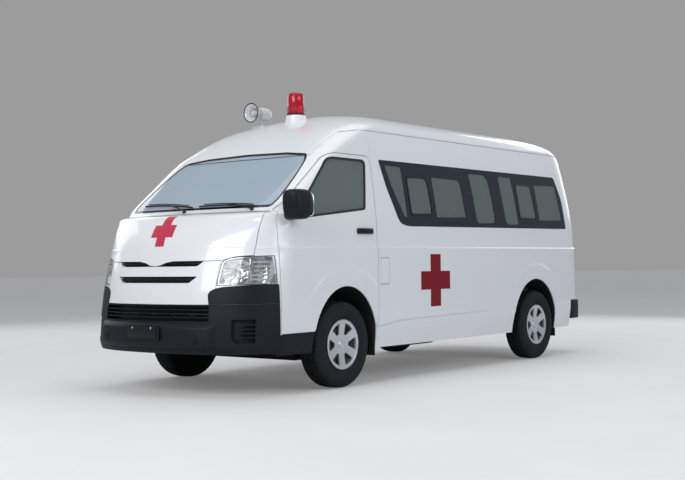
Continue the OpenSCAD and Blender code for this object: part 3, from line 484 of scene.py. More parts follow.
def surface(name, color, rough, metal=0.0, vary=0.04, scale=6.0, bump_scale=None, bump_strength=0.1,
            bump_mm=0.3, coat=0.0, stretch=None, rough_vary=0.06, sheen=0.0, spec=0.5):
    """A paint, plastic, metal or rubber: colour and roughness vary softly, with an optional fine bump."""
    mat, nt, bsdf = new_material(name)
    big = noise_node(nt, scale, 3)
    low = tuple(max(0, c * (1 - vary)) for c in color)
    high = tuple(min(1, c * (1 + vary)) for c in color)
    nt.links.new(ramp_between(nt, big.outputs["Fac"], low, high), bsdf.inputs["Base Color"])
    fine = noise_node(nt, scale * 9, 5, stretch=stretch)
    nt.links.new(map_range(nt, fine.outputs["Fac"], max(0.02, rough - rough_vary), min(1, rough + rough_vary)),
                 bsdf.inputs["Roughness"])
    bsdf.inputs["Metallic"].default_value = metal
    bsdf.inputs["Coat Weight"].default_value = coat
    bsdf.inputs["Coat Roughness"].default_value = 0.04
    bsdf.inputs["Specular IOR Level"].default_value = spec
    if sheen:
        bsdf.inputs["Sheen Weight"].default_value = sheen
    if bump_scale:
        grain = noise_node(nt, bump_scale, 3, stretch=stretch)
        bump(nt, bsdf, grain.outputs["Fac"], bump_strength, bump_mm * MM)
    return mat


def glass(name, color, alpha_like=0.9, rough=0.02, coat=0.0):
    mat, nt, bsdf = new_material(name)
    n = noise_node(nt, 3.0, 2)
    low = tuple(c * 0.96 for c in color)
    nt.links.new(ramp_between(nt, n.outputs["Fac"], low, color), bsdf.inputs["Base Color"])
    bsdf.inputs["Roughness"].default_value = rough
    bsdf.inputs["Transmission Weight"].default_value = alpha_like
    bsdf.inputs["IOR"].default_value = 1.45
    bsdf.inputs["Coat Weight"].default_value = coat
    return mat


def fabric(name, color, thread=700.0):
    mat, nt, bsdf = new_material(name)
    coord = nt.nodes.new("ShaderNodeTexCoord")
    waves = []
    for axis in ("X", "Z"):
        wave = nt.nodes.new("ShaderNodeTexWave")
        wave.bands_direction = axis
        wave.inputs["Scale"].default_value = thread / 6
        wave.inputs["Distortion"].default_value = 0.6
        nt.links.new(coord.outputs["Object"], wave.inputs["Vector"])
        waves.append(wave)
    mix = nt.nodes.new("ShaderNodeMath")
    mix.operation = "MAXIMUM"
    nt.links.new(waves[0].outputs["Fac"], mix.inputs[0])
    nt.links.new(waves[1].outputs["Fac"], mix.inputs[1])
    dark = tuple(c * 0.7 for c in color)
    nt.links.new(ramp_between(nt, mix.outputs[0], dark, color), bsdf.inputs["Base Color"])
    bsdf.inputs["Roughness"].default_value = 0.9
    bsdf.inputs["Sheen Weight"].default_value = 0.3
    bump(nt, bsdf, mix.outputs[0], 0.4, 0.4 * MM)
    return mat




def math_node(nt, operation, *values):
    node = nt.nodes.new("ShaderNodeMath")
    node.operation = operation
    for socket, value in zip(node.inputs, values):
        if isinstance(value, (int, float)):
            socket.default_value = value
        else:
            nt.links.new(value, socket)
    return node.outputs[0]


def ring_swell(nt, geometry, y, z, inner, outer):
    """A soft step up towards a circle about (y, z) on the sides, as over a wheel arch."""
    offset = nt.nodes.new("ShaderNodeVectorMath")
    offset.operation = "SUBTRACT"
    offset.inputs[1].default_value = (0, y * MM, z * MM)
    nt.links.new(geometry, offset.inputs[0])
    flat = nt.nodes.new("ShaderNodeVectorMath")
    flat.operation = "MULTIPLY"
    flat.inputs[1].default_value = (0, 1, 1)
    nt.links.new(offset.outputs["Vector"], flat.inputs[0])
    length = nt.nodes.new("ShaderNodeVectorMath")
    length.operation = "LENGTH"
    nt.links.new(flat.outputs["Vector"], length.inputs[0])
    step = nt.nodes.new("ShaderNodeMapRange")
    step.interpolation_type = "SMOOTHSTEP"
    step.inputs["From Min"].default_value = inner * MM
    step.inputs["From Max"].default_value = outer * MM
    step.inputs["To Min"].default_value = 1
    step.inputs["To Max"].default_value = 0
    nt.links.new(length.outputs["Value"], step.inputs["Value"])
    height = nt.nodes.new("ShaderNodeSeparateXYZ")
    nt.links.new(geometry, height.inputs["Vector"])
    fade = nt.nodes.new("ShaderNodeMapRange")
    fade.interpolation_type = "SMOOTHSTEP"
    fade.inputs["From Min"].default_value = 0.62
    fade.inputs["From Max"].default_value = 0.86
    nt.links.new(height.outputs["Z"], fade.inputs["Value"])
    return math_node(nt, "MULTIPLY", step.outputs["Result"], fade.outputs["Result"])


def rocker_step(nt, geometry):
    """A soft step out below the crease that runs along the sills."""
    part = nt.nodes.new("ShaderNodeSeparateXYZ")
    nt.links.new(geometry, part.inputs["Vector"])
    gentle = math_node(nt, "MULTIPLY_ADD", part.outputs["Y"], 0.0152, 0.5054)
    steep = math_node(nt, "MULTIPLY_ADD", part.outputs["Y"], 0.128, 0.590)
    line = math_node(nt, "MINIMUM", gentle, steep)
    over = math_node(nt, "SUBTRACT", part.outputs["Z"], line)
    step = nt.nodes.new("ShaderNodeMapRange")
    step.interpolation_type = "SMOOTHSTEP"
    step.inputs["From Min"].default_value = -0.014
    step.inputs["From Max"].default_value = 0.010
    step.inputs["To Min"].default_value = 2.6
    step.inputs["To Max"].default_value = 0
    nt.links.new(over, step.inputs["Value"])
    return step.outputs["Result"]


def paint(name, color):
    """Clear-coated paint whose bump carries the soft swells pressed into the sides."""
    mat, nt, bsdf = new_material(name)
    big = noise_node(nt, 1.4, 3)
    nt.links.new(ramp_between(nt, big.outputs["Fac"], tuple(c * 0.985 for c in color), color), bsdf.inputs["Base Color"])
    fine = noise_node(nt, 12.0, 5)
    nt.links.new(map_range(nt, fine.outputs["Fac"], 0.26, 0.34), bsdf.inputs["Roughness"])
    bsdf.inputs["Coat Weight"].default_value = 0.55
    bsdf.inputs["Coat Roughness"].default_value = 0.04
    coord = nt.nodes.new("ShaderNodeTexCoord")
    swells = [ring_swell(nt, coord.outputs["Object"], y, HUB_Z + 30, low, low + 30)
              for y, low in ((AXLE_F + 40, 560), (AXLE_R - 30, 560))]
    both_swells = math_node(nt, "ADD", swells[0], swells[1])
    relief = math_node(nt, "ADD", both_swells, rocker_step(nt, coord.outputs["Object"]))
    skin_noise = noise_node(nt, 150.0, 3)
    first = nt.nodes.new("ShaderNodeBump")
    first.inputs["Strength"].default_value = 0.02
    first.inputs["Distance"].default_value = 0.05 * MM
    nt.links.new(skin_noise.outputs["Fac"], first.inputs["Height"])
    second = nt.nodes.new("ShaderNodeBump")
    second.inputs["Strength"].default_value = 1.0
    second.inputs["Distance"].default_value = 8 * MM
    nt.links.new(relief, second.inputs["Height"])
    nt.links.new(first.outputs["Normal"], second.inputs["Normal"])
    nt.links.new(second.outputs["Normal"], bsdf.inputs["Normal"])
    return mat


WHITE = paint("paint_white", (0.775, 0.80, 0.83))
TRIM = surface("trim_inner", (0.42, 0.43, 0.45), 0.62, vary=0.05, scale=5, bump_scale=420, bump_strength=0.25)
BUMPER = surface("bumper_black", (0.0065, 0.009, 0.014), 0.50, vary=0.12, scale=4, bump_scale=900,
                 bump_strength=0.35, bump_mm=0.15, spec=0.22)
BLACK = surface("trim_black", (0.007, 0.008, 0.010), 0.38, vary=0.12, scale=6, bump_scale=700, bump_strength=0.15,
                spec=0.3)
# Black rubber for the seals, also laid in the panel gaps as painted shade
SEAL_AND_GAP_SHADE = surface("seal_rubber_and_gap_shade", (0.008, 0.008, 0.009), 0.6, vary=0.15, scale=9, bump_scale=500, bump_strength=0.2)
GLOSS_BLACK = surface("frit_black", (0.006, 0.008, 0.011), 0.10, vary=0.1, scale=2, rough_vary=0.02, spec=0.4)
BAND = surface("band_glass", (0.014, 0.021, 0.031), 0.08, vary=0.08, scale=1.5, rough_vary=0.02, spec=0.4)
PANE = glass("pane_tint", (0.24, 0.29, 0.29), 0.55, 0.03)
# Painted reflection: the clear windscreen gets a pale blue base colour that stands in for the bright sky it reflects
SCREEN = glass("screen_clear_painted_reflection", (0.56, 0.68, 0.79), 0.42, 0.03)
# Painted reflection: the clear door glass gets a grey-green base colour that stands in for what it reflects
DOORGLASS = glass("door_glass_painted_reflection", (0.25, 0.30, 0.31), 0.50, 0.03)
LENS_CLEAR = glass("lamp_cover", (0.95, 0.97, 0.98), 0.95, 0.01)
CHROME = surface("lamp_chrome", (0.86, 0.88, 0.90), 0.07, metal=1.0, vary=0.02, scale=30, bump_scale=140,
                 bump_strength=0.12, bump_mm=0.4, rough_vary=0.03)
LAMP_GREY = surface("lamp_grey", (0.45, 0.47, 0.50), 0.25, metal=0.6, vary=0.05, scale=20)
AMBER = glass("bulb_amber", (0.95, 0.42, 0.05), 0.5, 0.08)
# Painted light and shade: the same red for all four crosses, painted darker on the sides and rear and lighter on the
# front
RED = surface("cross_red", (0.20, 0.004, 0.014), 0.42, vary=0.03, scale=3, spec=0.2, bump_scale=300,
              bump_strength=0.03)
RED_FRONT_LIT = surface("cross_front_lit", (0.50, 0.030, 0.075), 0.42, vary=0.03, scale=3, spec=0.25, bump_scale=300,
                    bump_strength=0.03)
RED_LENS = glass("beacon_red", (0.80, 0.015, 0.05), 0.62, 0.06)
TAIL_RED = surface("tail_red", (0.42, 0.008, 0.016), 0.12, vary=0.05, scale=14, coat=0.6)
TAIL_AMBER = surface("tail_amber", (0.72, 0.22, 0.02), 0.14, vary=0.05, scale=14, coat=0.5)
TAIL_WHITE = surface("tail_white", (0.72, 0.73, 0.74), 0.14, vary=0.05, scale=14, coat=0.5)
SILVER = surface("cover_silver", (0.60, 0.63, 0.67), 0.30, metal=0.55, vary=0.03, scale=9, coat=0.5,
                 bump_scale=600, bump_strength=0.04)
WHEEL_DARK = surface("wheel_dark", (0.035, 0.037, 0.042), 0.55, metal=0.4, vary=0.2, scale=12, bump_scale=300)
TYRE = surface("tyre_rubber", (0.009, 0.010, 0.013), 0.78, vary=0.2, scale=14, bump_scale=420,
               bump_strength=0.35, bump_mm=0.4, spec=0.3)
UNDER = surface("underbody", (0.012, 0.013, 0.015), 0.72, vary=0.3, scale=7, bump_scale=140, bump_strength=0.4,
                bump_mm=0.8, spec=0.3)
CAST = surface("cast_metal", (0.16, 0.165, 0.17), 0.6, metal=0.6, vary=0.2, scale=9, bump_scale=180,
               bump_strength=0.5, bump_mm=0.8)
STEEL = surface("machined_steel", (0.50, 0.50, 0.51), 0.32, metal=1.0, vary=0.06, scale=20, bump_scale=500,
                stretch=(1, 1, 20))
PIPE = surface("pipe_steel", (0.27, 0.25, 0.23), 0.5, metal=0.9, vary=0.25, scale=11, bump_scale=220,
               bump_strength=0.3)
HORN = surface("horn_enamel", (0.62, 0.64, 0.66), 0.32, vary=0.04, scale=10, coat=0.3, bump_scale=400,
               bump_strength=0.05)
BEACON_WHITE = surface("beacon_base", (0.78, 0.79, 0.80), 0.35, vary=0.03, scale=16, coat=0.2)
MIRROR = surface("mirror_face", (0.86, 0.88, 0.90), 0.03, metal=1.0, vary=0.01, scale=5, rough_vary=0.01)
FLOOR_MAT = surface("floor_cover", (0.13, 0.135, 0.14), 0.65, vary=0.12, scale=60, bump_scale=260,
                    bump_strength=0.5, bump_mm=0.6)
DASH = surface("dash_plastic", (0.095, 0.10, 0.105), 0.55, vary=0.08, scale=8, bump_scale=800,
               bump_strength=0.4)
CLOTH = fabric("seat_cloth", (0.115, 0.12, 0.13))
CLOTH_PIPE = surface("seat_piping", (0.05, 0.052, 0.056), 0.7, vary=0.1, scale=30, bump_scale=900)
BENCH = surface("bench_vinyl", (0.10, 0.16, 0.22), 0.42, vary=0.05, scale=10, bump_scale=500,
                bump_strength=0.3, bump_mm=0.3)
PLATE = surface("plate_blank", (0.70, 0.71, 0.70), 0.35, vary=0.02, scale=12)


def finish_piece(ob, body, slot, *materials, nodes=()):
    ob.data.materials.clear()
    for m in materials:
        ob.data.materials.append(m)
    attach(ob, body)
    if nodes:
        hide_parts(*nodes)
    return ob


# ---------------------------------------------------------------- outlines
def arch_points(y, a, extra=0.0, n=40):
    pts = [(y + a + extra, 0.0)]
    for i in range(n + 1):
        t = math.pi * i / n
        pts.append((y + (a + extra) * math.cos(t), HUB_Z + (456 + extra) * math.sin(t)))
    return pts + [(y - a - extra, 0.0)]


ARCH_F = (AXLE_F + 25, 400.0)
ARCH_R = (AXLE_R - 45, 430.0)
DOOR = [(DOOR_FRONT_Y, 461), (DOOR_FRONT_Y + 6, 900), (DOOR_FRONT_Y + 22, BELT_H + 2), (DOOR_FRONT_Y + 60, BELT_H + 52),
        (AXLE_F - 90, ROOF_H - 447), (DOOR_REAR_Y - 18, ROOF_H - 447), (DOOR_REAR_Y, BELT_H + 40),
        (DOOR_REAR_Y, 461)]
DOOR_R = [14, 0, 30, 30, 90, 60, 0, 50]
DOOR_GLASS = [(AXLE_F - 600, BELT_H - 5), (AXLE_F - 110, WINDOW_TOP_Z - 18),
              (DOOR_REAR_Y - 76, WINDOW_TOP_Z - 18), (DOOR_REAR_Y - 134, BELT_H + 96),
              (DOOR_REAR_Y - 170, BELT_H + 88)]
DOOR_GLASS_R = [30, 60, 50, 14, 14]
ROOF_LINE = [(FRONT_Y, HEADER_Z - 20), (AXLE_F - 262, HEADER_Z - 20), (AXLE_F - 60, HEADER_Z + 70),
             (AXLE_F + 150, SEAM_Z - 34), (AXLE_F + 350, SEAM_Z - 4), (REAR_Y, SEAM_Z - 4)]
SLIDE = [(DOOR_REAR_Y + 70, 461), (DOOR_REAR_Y + 70, SEAM_Z - 90), (DOOR_REAR_Y + 1070, SEAM_Z - 90),
         (DOOR_REAR_Y + 1070, 461)]
BAND_LINE = [(-946, 1822), (-868, 1590), (-715, 1300), (-600, 1277), (2262, 1297), (2215, 1600), (2100, 1828)]
BAND_R = [26, 60, 60, 60, 30, 40, 40]
PANES = [
    ([(-868, 1782), (-636, 1778), (-597, 1352), (-640, 1356), (-790, 1600)], [26, 20, 16, 16, 40], False),
    ([(-562, 1692), (-268, 1697), (-225, 1392), (-532, 1386)], [26, 60, 24, 24], True),
    ([(-184, 1713), (272, 1708), (325, 1373), (-148, 1362)], [16, 60, 14, 14], False),
    ([(440, 1781), (766, 1781), (848, 1332), (520, 1322)], [24, 110, 60, 60], False),
    ([(963, 1785), (1211, 1780), (1285, 1324), (1044, 1324)], [50, 24, 14, 60], False),
    ([(1290, 1712), (1580, 1714), (1640, 1394), (1330, 1394)], [26, 60, 24, 24], True),
    ([(1661, 1727), (2102, 1738), (2185, 1385), (1713, 1375)], [16, 24, 24, 14], False),
]
SCREEN_LINE = [(-764, 1398), (764, 1398), (782, 1470), (772, 1560), (746, 1697), (716, 1790), (668, 1844),
               (440, 1868), (0, 1880), (-440, 1868), (-668, 1844), (-716, 1790), (-746, 1697), (-772, 1560), (-782, 1470)]
BONNET_LOW = [(-788, 1040), (-690, 1034), (-600, 1010), (-520, 1004), (-180, 1003), (-110, 992), (-55, 973),
              (0, 966), (55, 973), (110, 992), (180, 1003), (520, 1004), (600, 1010), (690, 1034), (788, 1040)]
BONNET_LINE = BONNET_LOW + [(788, COWL_Z - 14), (-788, COWL_Z - 14)]
NOSE_LINE = [(-545, 684), (545, 684), (532, 756), (545, 780), (583, 798), (583, 1050), (-583, 1050), (-583, 798),
             (-545, 780), (-532, 756)]
LAMP_LINE = [(588, 822), (960, 828), (960, 1036), (771, 1030), (690, 1026), (640, 1016), (596, 990)]
TAILGATE = [(-745, 600), (745, 600), (745, BELT_H), (685, TAILGATE_TOP_Z), (-685, TAILGATE_TOP_Z), (-745, BELT_H)]
TAIL_GLASS = [(-600, BELT_H + 20), (600, BELT_H + 20), (560, WINDOW_TOP_Z + 30), (-560, WINDOW_TOP_Z + 30)]

# ---------------------------------------------------------------- shell and cutters
OUTER = body_solid(0, 0)
INNER = body_solid(WALL, ROOF_T, SILL_Z - 40)
SHELL = carve("shell", OUTER, ("DIFFERENCE", INNER))
SHELL_DEPTHS = {}


def skin(outer, inner):
    """The layer between two depths below the body surface; less than 0 stands proud."""
    key = (outer, inner)
    if key not in SHELL_DEPTHS:
        a = body_solid(outer, outer, SILL_Z + 2)
        b = body_solid(inner, inner, SILL_Z - 10)
        ob = carve("skin", a, ("DIFFERENCE", b))
        scene.collection.objects.unlink(ob)
        cutters.objects.link(ob)
        SHELL_DEPTHS[key] = ob
    return SHELL_DEPTHS[key]


def layer(name, outer, inner, *steps, body="body", slot=None, mats=(BLACK,), nodes=(), keep=False):
    ob = carve(name, skin(outer, inner), *steps)
    surface_shading(ob)
    return finish_piece(ob, body, slot, *mats, nodes=nodes)


def door_cut(side, extra):
    return side_cut(grow(fillet(DOOR, DOOR_R), extra), side, 600)


def ring_line(points, radii, outer_grow, inner_grow):
    rounded = fillet(points, radii)
    return grow(rounded, outer_grow), grow(rounded, inner_grow)


ARCHES = [side_cut(arch_points(y, a), s) for s in (-1, 1) for y, a in (ARCH_F, ARCH_R)]
DOOR_HOLES = [door_cut(s, 6.0) for s in (-1, 1)]
ROOF_ABOVE = ROOF_LINE + [(REAR_Y + 60, ROOF_H + 60), (FRONT_Y, ROOF_H + 60)]
SCREEN_R = [30] * 15
SCREEN_R[0] = SCREEN_R[1] = 60
SCREEN_CUT = front_cut(fillet(SCREEN_LINE, SCREEN_R), FRONT_Y, AXLE_F)


def roof_cutter(extra):
    line = [(y, z - extra) for y, z in ROOF_LINE] + [(REAR_Y + 60, ROOF_H + 60), (FRONT_Y, ROOF_H + 60)]
    return prism(line, lambda p, t: (t, p[0], p[1]), -1100, 1100)


def roof_region(extra):
    """The roof's part of the shell: above the side seams, and down to the windscreen between the corners."""
    strip = box_cut((-716 - extra, FRONT_Y, HEADER_Z - 20 - extra), (716 + extra, AXLE_F + 420, SEAM_Z + 60))
    ob = carve("solid_roof", roof_cutter(extra), ("UNION", strip))
    scene.collection.objects.unlink(ob)
    cutters.objects.link(ob)
    return ob


ROOF_IN, ROOF_OUT = roof_region(-2), roof_region(2)
BONNET_CUT = front_cut(grow(BONNET_LINE, 1), FRONT_Y - 50, FRONT_Y + 520)
BONNET_HOLE = front_cut(grow(BONNET_LINE, 6), FRONT_Y - 50, FRONT_Y + 520)
NOSE_CUT = front_cut(fillet(NOSE_LINE, [4, 4, 8, 10, 0, 0, 0, 0, 10, 8]), FRONT_Y - 50, FRONT_Y + 300)
NOSE_HOLE = front_cut(grow(NOSE_LINE, 3), FRONT_Y - 50, FRONT_Y + 300)
LAMP_CUTS = [front_cut(fillet([(s * x, z) for x, z in LAMP_LINE], 12), FRONT_Y - 50, DOOR_FRONT_Y - 24) for s in (-1, 1)]
LAMP_HOLES = [front_cut(grow([(s * x, z) for x, z in LAMP_LINE], 3), FRONT_Y - 50, DOOR_FRONT_Y - 20) for s in (-1, 1)]
TAILGATE_CUT = front_cut(fillet(TAILGATE, 26), REAR_Y - 620, REAR_Y + 60)
TAILGATE_HOLE = front_cut(fillet(grow(TAILGATE, 6), 30), REAR_Y - 620, REAR_Y + 60)
CORNER = [(548, 684), (534, 756), (546, 782), (583, 801), (640, 812), (787, 822), (990, 826), (990, 684)]
BUMPER_CUT = union(
    box_cut((-1000, FRONT_Y - 60, 320), (1000, DOOR_FRONT_Y - 14, 680)),
    front_cut([(x, z - 4 if z == 684 else z) for x, z in CORNER], FRONT_Y - 60, DOOR_FRONT_Y - 14),
    front_cut(both([(x, z - 4 if z == 684 else z) for x, z in CORNER]), FRONT_Y - 60, DOOR_FRONT_Y - 14),
)
BUMPER_HOLE = union(
    box_cut((-1000, FRONT_Y - 60, 0), (1000, DOOR_FRONT_Y - 10, 684)),
    front_cut(grow([(x, max(684.5, z)) for x, z in CORNER], 0), FRONT_Y - 60, DOOR_FRONT_Y - 10),
    front_cut(both([(x, max(684.5, z)) for x, z in CORNER]), FRONT_Y - 60, DOOR_FRONT_Y - 10),
)
TAIL_WRAP = REAR_Y - 365
REAR_BUMPER_BOX = box_cut((-1000, TAIL_WRAP, 0), (1000, REAR_Y + 60, 562))
TAIL_LAMPS = [box_cut((s * 850 - 150, REAR_Y - 250, 704), (s * 850 + 150, REAR_Y + 60, BELT_H - 24)) for s in (-1, 1)]
TAIL_LAMP_HOLES = [box_cut((s * 850 - 153, REAR_Y - 254, 700), (s * 850 + 153, REAR_Y + 60, BELT_H - 20)) for s in (-1, 1)]
SLIDE_CUT = side_cut(fillet(grow(SLIDE, -1), 40), -1)
SLIDE_HOLE = side_cut(fillet(grow(SLIDE, 4), 44), -1)
FLAP_Y = DOOR_REAR_Y + 36
FLAP = [(FLAP_Y, 800), (FLAP_Y + 118, 800), (FLAP_Y + 118, 1010), (FLAP_Y, 1010)]
FLAP_HOLE = side_cut(fillet(grow(FLAP, 4), 16), 1, HALF - 30)


def pane_cutters(side, extra):
    return [side_cut(grow(fillet(p, r), extra), side) for p, r, _ in PANES]


# ---------------------------------------------------------------- bodywork
def panel(name, body, nodes, *steps, base=None, mats=(WHITE, TRIM)):
    ob = carve(name, base or SHELL, *steps)
    surface_shading(ob, inner_slot=1)
    return finish_piece(ob, body, "white_paint", *mats, nodes=nodes)


I, D = "INTERSECT", "DIFFERENCE"
panel("roof_cap", "body", ["roof"], (I, ROOF_IN), (D, TAILGATE_HOLE), (D, DOOR_HOLES[0]), (D, DOOR_HOLES[1]),
      (D, SCREEN_CUT))
for s, word in ((1, "left"), (-1, "right")):
    region = union(side_cut([(DOOR_REAR_Y + 6, 0), (REAR_Y + 60, 0), (REAR_Y + 60, ROOF_H), (DOOR_REAR_Y + 6, ROOF_H)], s, 0),
                   side_cut([(ARCH_F[0], 0), (DOOR_REAR_Y + 5.9, 0), (DOOR_REAR_Y + 5.9, 455), (ARCH_F[0], 455)], s, 0))
    steps = [(I, region), (D, ROOF_OUT), (D, TAILGATE_HOLE), (D, REAR_BUMPER_BOX)]
    steps += [(D, a) for a in ARCHES] + [(D, t) for t in TAIL_LAMP_HOLES]
    steps += [(D, c) for c in pane_cutters(s, 10)]
    if s > 0:
        steps.append((D, FLAP_HOLE))
    else:
        steps.append((D, SLIDE_HOLE))
    panel("side_" + word, "body", ["side_panel_" + word], *steps)
panel("sliding_door_skin", "body", ["sliding_door"], (I, SLIDE_CUT), *[(D, c) for c in pane_cutters(-1, 10)[:3]])
panel("front_body_skin", "body", ["front_body"],
      (I, box_cut((-1000, FRONT_Y - 60, 455), (1000, DOOR_REAR_Y + 4, ROOF_H))), (D, ROOF_OUT),
      (D, DOOR_HOLES[0]), (D, DOOR_HOLES[1]), (D, BONNET_HOLE), (D, NOSE_HOLE), (D, SCREEN_CUT),
      (D, LAMP_HOLES[0]), (D, LAMP_HOLES[1]), (D, BUMPER_HOLE), *[(D, a) for a in ARCHES])
panel("bonnet_skin", "bonnet", ["bonnet"], (I, BONNET_CUT))
for s, word in ((1, "left"), (-1, "right")):
    hole = side_cut(grow(fillet(DOOR_GLASS, DOOR_GLASS_R), 4), s, 600)
    panel("door_skin_" + word, "door_" + word, ["front_door_" + word], (I, door_cut(s, 1)), (D, hole),
          *[(D, a) for a in ARCHES])
panel("tailgate_skin", "tailgate", ["tailgate"], (I, TAILGATE_CUT),
      (D, front_cut(fillet(grow(TAIL_GLASS, 3), 50), REAR_Y - 620, REAR_Y + 60)),
      (D, front_cut(fillet([(-270, 700), (270, 700), (270, 850), (-270, 850)], 20), tail_y(0, 780) - 12, REAR_Y + 60)))

# Nose panel with its two slots, their dark backing and slats
UPPER_SLOT = [(-412, 962), (412, 962), (462, 1003), (462, 1060), (-462, 1060), (-462, 1003)]
LOWER_SLOT = [(-366, 840), (366, 840), (430, 888), (-430, 888)]
slots = [front_cut(fillet(UPPER_SLOT, [14, 14, 6, 0, 0, 6]), FRONT_Y - 60, FRONT_Y + 300),
         front_cut(fillet(LOWER_SLOT, 12), FRONT_Y - 60, FRONT_Y + 300)]
panel("nose_panel", "body", ["grille"], (I, NOSE_CUT), (D, BONNET_HOLE), (D, slots[0]), (D, slots[1]))
layer("slot_backing", 34, 44, (I, front_cut([(-520, 826), (520, 826), (520, 1012), (-520, 1012)], FRONT_Y - 60, FRONT_Y + 300)),
      slot="black_plastic", mats=(BLACK,))
for k, (zs, w) in enumerate((((858, 870), 440), ((980, 988), 470))):
    layer("slot_slat_%d" % k, 10, 34, (I, front_cut([(-w, zs[0]), (w, zs[0]), (w, zs[1]), (-w, zs[1])], FRONT_Y - 60, FRONT_Y + 300)),
          slot="black_plastic", mats=(BLACK,))

# Front bumper
INTAKE = [(-558, 562), (558, 562), (552, 672), (-552, 672)]
VENTS = [[(s * 712, 574), (s * 846, 574), (s * 846, 404), (s * 742, 404), (s * 714, 436)] for s in (-1, 1)]
bumper_steps = [(I, BUMPER_CUT)] + [(D, a) for a in ARCHES]
bumper_steps.append((D, front_cut(fillet(INTAKE, 14), FRONT_Y - 60, FRONT_Y + 400)))
for x in (-468, 468):
    circle = [(x + 34 * math.cos(a), 434 + 34 * math.sin(a)) for a in np.linspace(0, 2 * math.pi, 33)[:-1]]
    bumper_steps.append((D, front_cut(circle, FRONT_Y - 60, FRONT_Y + 60)))
recess = body_solid(26, 0, SILL_Z - 20)
VENT_RECESS = [carve("recess", front_cut(fillet(v, [16, 10, 10, 40, 30]), FRONT_Y - 60, FRONT_Y + 420), (D, recess)) for v in VENTS]
for v in VENT_RECESS:
    bumper_steps.append((D, v))
front_bumper = panel("bumper_front", "body", ["front_bumper"], *bumper_steps, mats=(BUMPER, BUMPER))
for s, v in zip((-1, 1), VENTS):
    for k in range(4):
        z0 = 440 + 30 * k
        layer("vent_slat_%d_%d" % (s + 1, k), 3, 30,
              (I, front_cut([(s * 764, z0), (s * 846, z0), (s * 846, z0 + 9), (s * 764, z0 + 9)], FRONT_Y - 60, FRONT_Y + 420)),
              slot="black_plastic", mats=(BUMPER,))
# Lower face of the bumper, standing forward below a sloping ledge
LIP = [(4, 550), (-3, 549), (-10, 544), (-26, 522), (-32, 514), (-34, 504), (-34, 400), (-32, 384), (-26, 372), (-14, 362), (0, 358), (6, 357)]


def lip_end(x):
    return max(0.0, min(1.0, (612 - abs(x)) / 46)) ** 0.5


verts, faces = [], []
xs = np.linspace(-612, 612, 90)
for x in xs:
    for off, z in LIP:
        verts.append(Vector((x, nose_y(x, z) + (off if off > 0 else off * lip_end(x)), z)) * MM)
n = len(LIP)
for k in range(len(xs) - 1):
    for i in range(n - 1):
        faces.append((k * n + i, k * n + i + 1, (k + 1) * n + i + 1, (k + 1) * n + i))
lip = mesh_object("bumper_lip", verts, faces)
shade_smooth(lip, 30)
finish_piece(lip, "body", "black_plastic", BUMPER)
layer("intake_backing", 60, 70, (I, front_cut([(-575, 550), (575, 550), (575, 682), (-575, 682)], FRONT_Y - 60, FRONT_Y + 420)),
      slot="black_plastic", mats=(BLACK,))
for k, z0 in enumerate((586, 612, 640)):
    layer("intake_slat_%d" % k, 6, 60, (I, front_cut([(-556, z0), (556, z0), (556, z0 + 8), (-556, z0 + 8)], FRONT_Y - 60, FRONT_Y + 420)),
          slot="black_plastic", mats=(BUMPER,))
for k, x in enumerate((-468, 468)):
    cap = bmesh.new()
    bmesh.ops.create_cone(cap, cap_ends=True, segments=40, radius1=31 * MM, radius2=29 * MM, depth=14 * MM)
    bmesh.ops.rotate(cap, verts=cap.verts, matrix=Matrix.Rotation(math.radians(90), 3, "X"))
    bmesh.ops.translate(cap, verts=cap.verts, vec=Vector((x, nose_y(x, 434) - 32, 434)) * MM)
    me = bpy.data.meshes.new("tow_cap_%d" % k)
    cap.to_mesh(me)
    cap.free()
    ob = bpy.data.objects.new("tow_cap_%d" % k, me)
    scene.collection.objects.link(ob)
    shade_smooth(ob)
    finish_piece(ob, "body", "black_plastic", BUMPER)


def rounded_box(name, low, high, radius, segments=3):
    """A box with bevelled edges, in mm."""
    bm = bmesh.new()
    bmesh.ops.create_cube(bm, size=1)
    size = Vector(high) - Vector(low)
    mid = (Vector(high) + Vector(low)) / 2
    for v in bm.verts:
        v.co = Vector((v.co.x * size.x, v.co.y * size.y, v.co.z * size.z)) + mid
    bmesh.ops.bevel(bm, geom=list(bm.edges), offset=radius, offset_type="OFFSET", segments=segments, profile=0.5,
                    affect="EDGES")
    bmesh.ops.scale(bm, verts=bm.verts, vec=(MM, MM, MM))
    me = bpy.data.meshes.new(name)
    bm.to_mesh(me)
    bm.free()
    ob = bpy.data.objects.new(name, me)
    scene.collection.objects.link(ob)
    shade_smooth(ob, 40)
    return ob


def move(ob, matrix):
    ob.data.transform(matrix)
    return ob


def lathe(name, profile, segments=64, axis="Z", centre=(0, 0, 0), closed=True):
    """Turns a profile of (radius, height) in mm about an axis through centre."""
    verts, faces = [], []
    n = len(profile)
    for k in range(segments):
        a = 2 * math.pi * k / segments
        for r, h in profile:
            verts.append((r * math.cos(a), r * math.sin(a), h))
    span = n if closed else n - 1
    for k in range(segments):
        b = (k + 1) % segments
        for i in range(span):
            j = (i + 1) % n
            faces.append((k * n + i, b * n + i, b * n + j, k * n + j))
    ob = mesh_object(name, [Vector(v) * MM for v in verts], faces)
    bm = bmesh.new()
    bm.from_mesh(ob.data)
    bmesh.ops.remove_doubles(bm, verts=bm.verts, dist=1e-6)
    bmesh.ops.recalc_face_normals(bm, faces=bm.faces)
    bm.to_mesh(ob.data)
    bm.free()
    turn = {"Z": Matrix.Identity(4), "X": Matrix.Rotation(math.radians(90), 4, "Y"),
            "-X": Matrix.Rotation(math.radians(-90), 4, "Y"),
            "-Y": Matrix.Rotation(math.radians(90), 4, "X"), "Y": Matrix.Rotation(math.radians(-90), 4, "X")}[axis]
    ob.data.transform(Matrix.Translation(Vector(centre) * MM) @ turn)
    shade_smooth(ob, 40)
    return ob


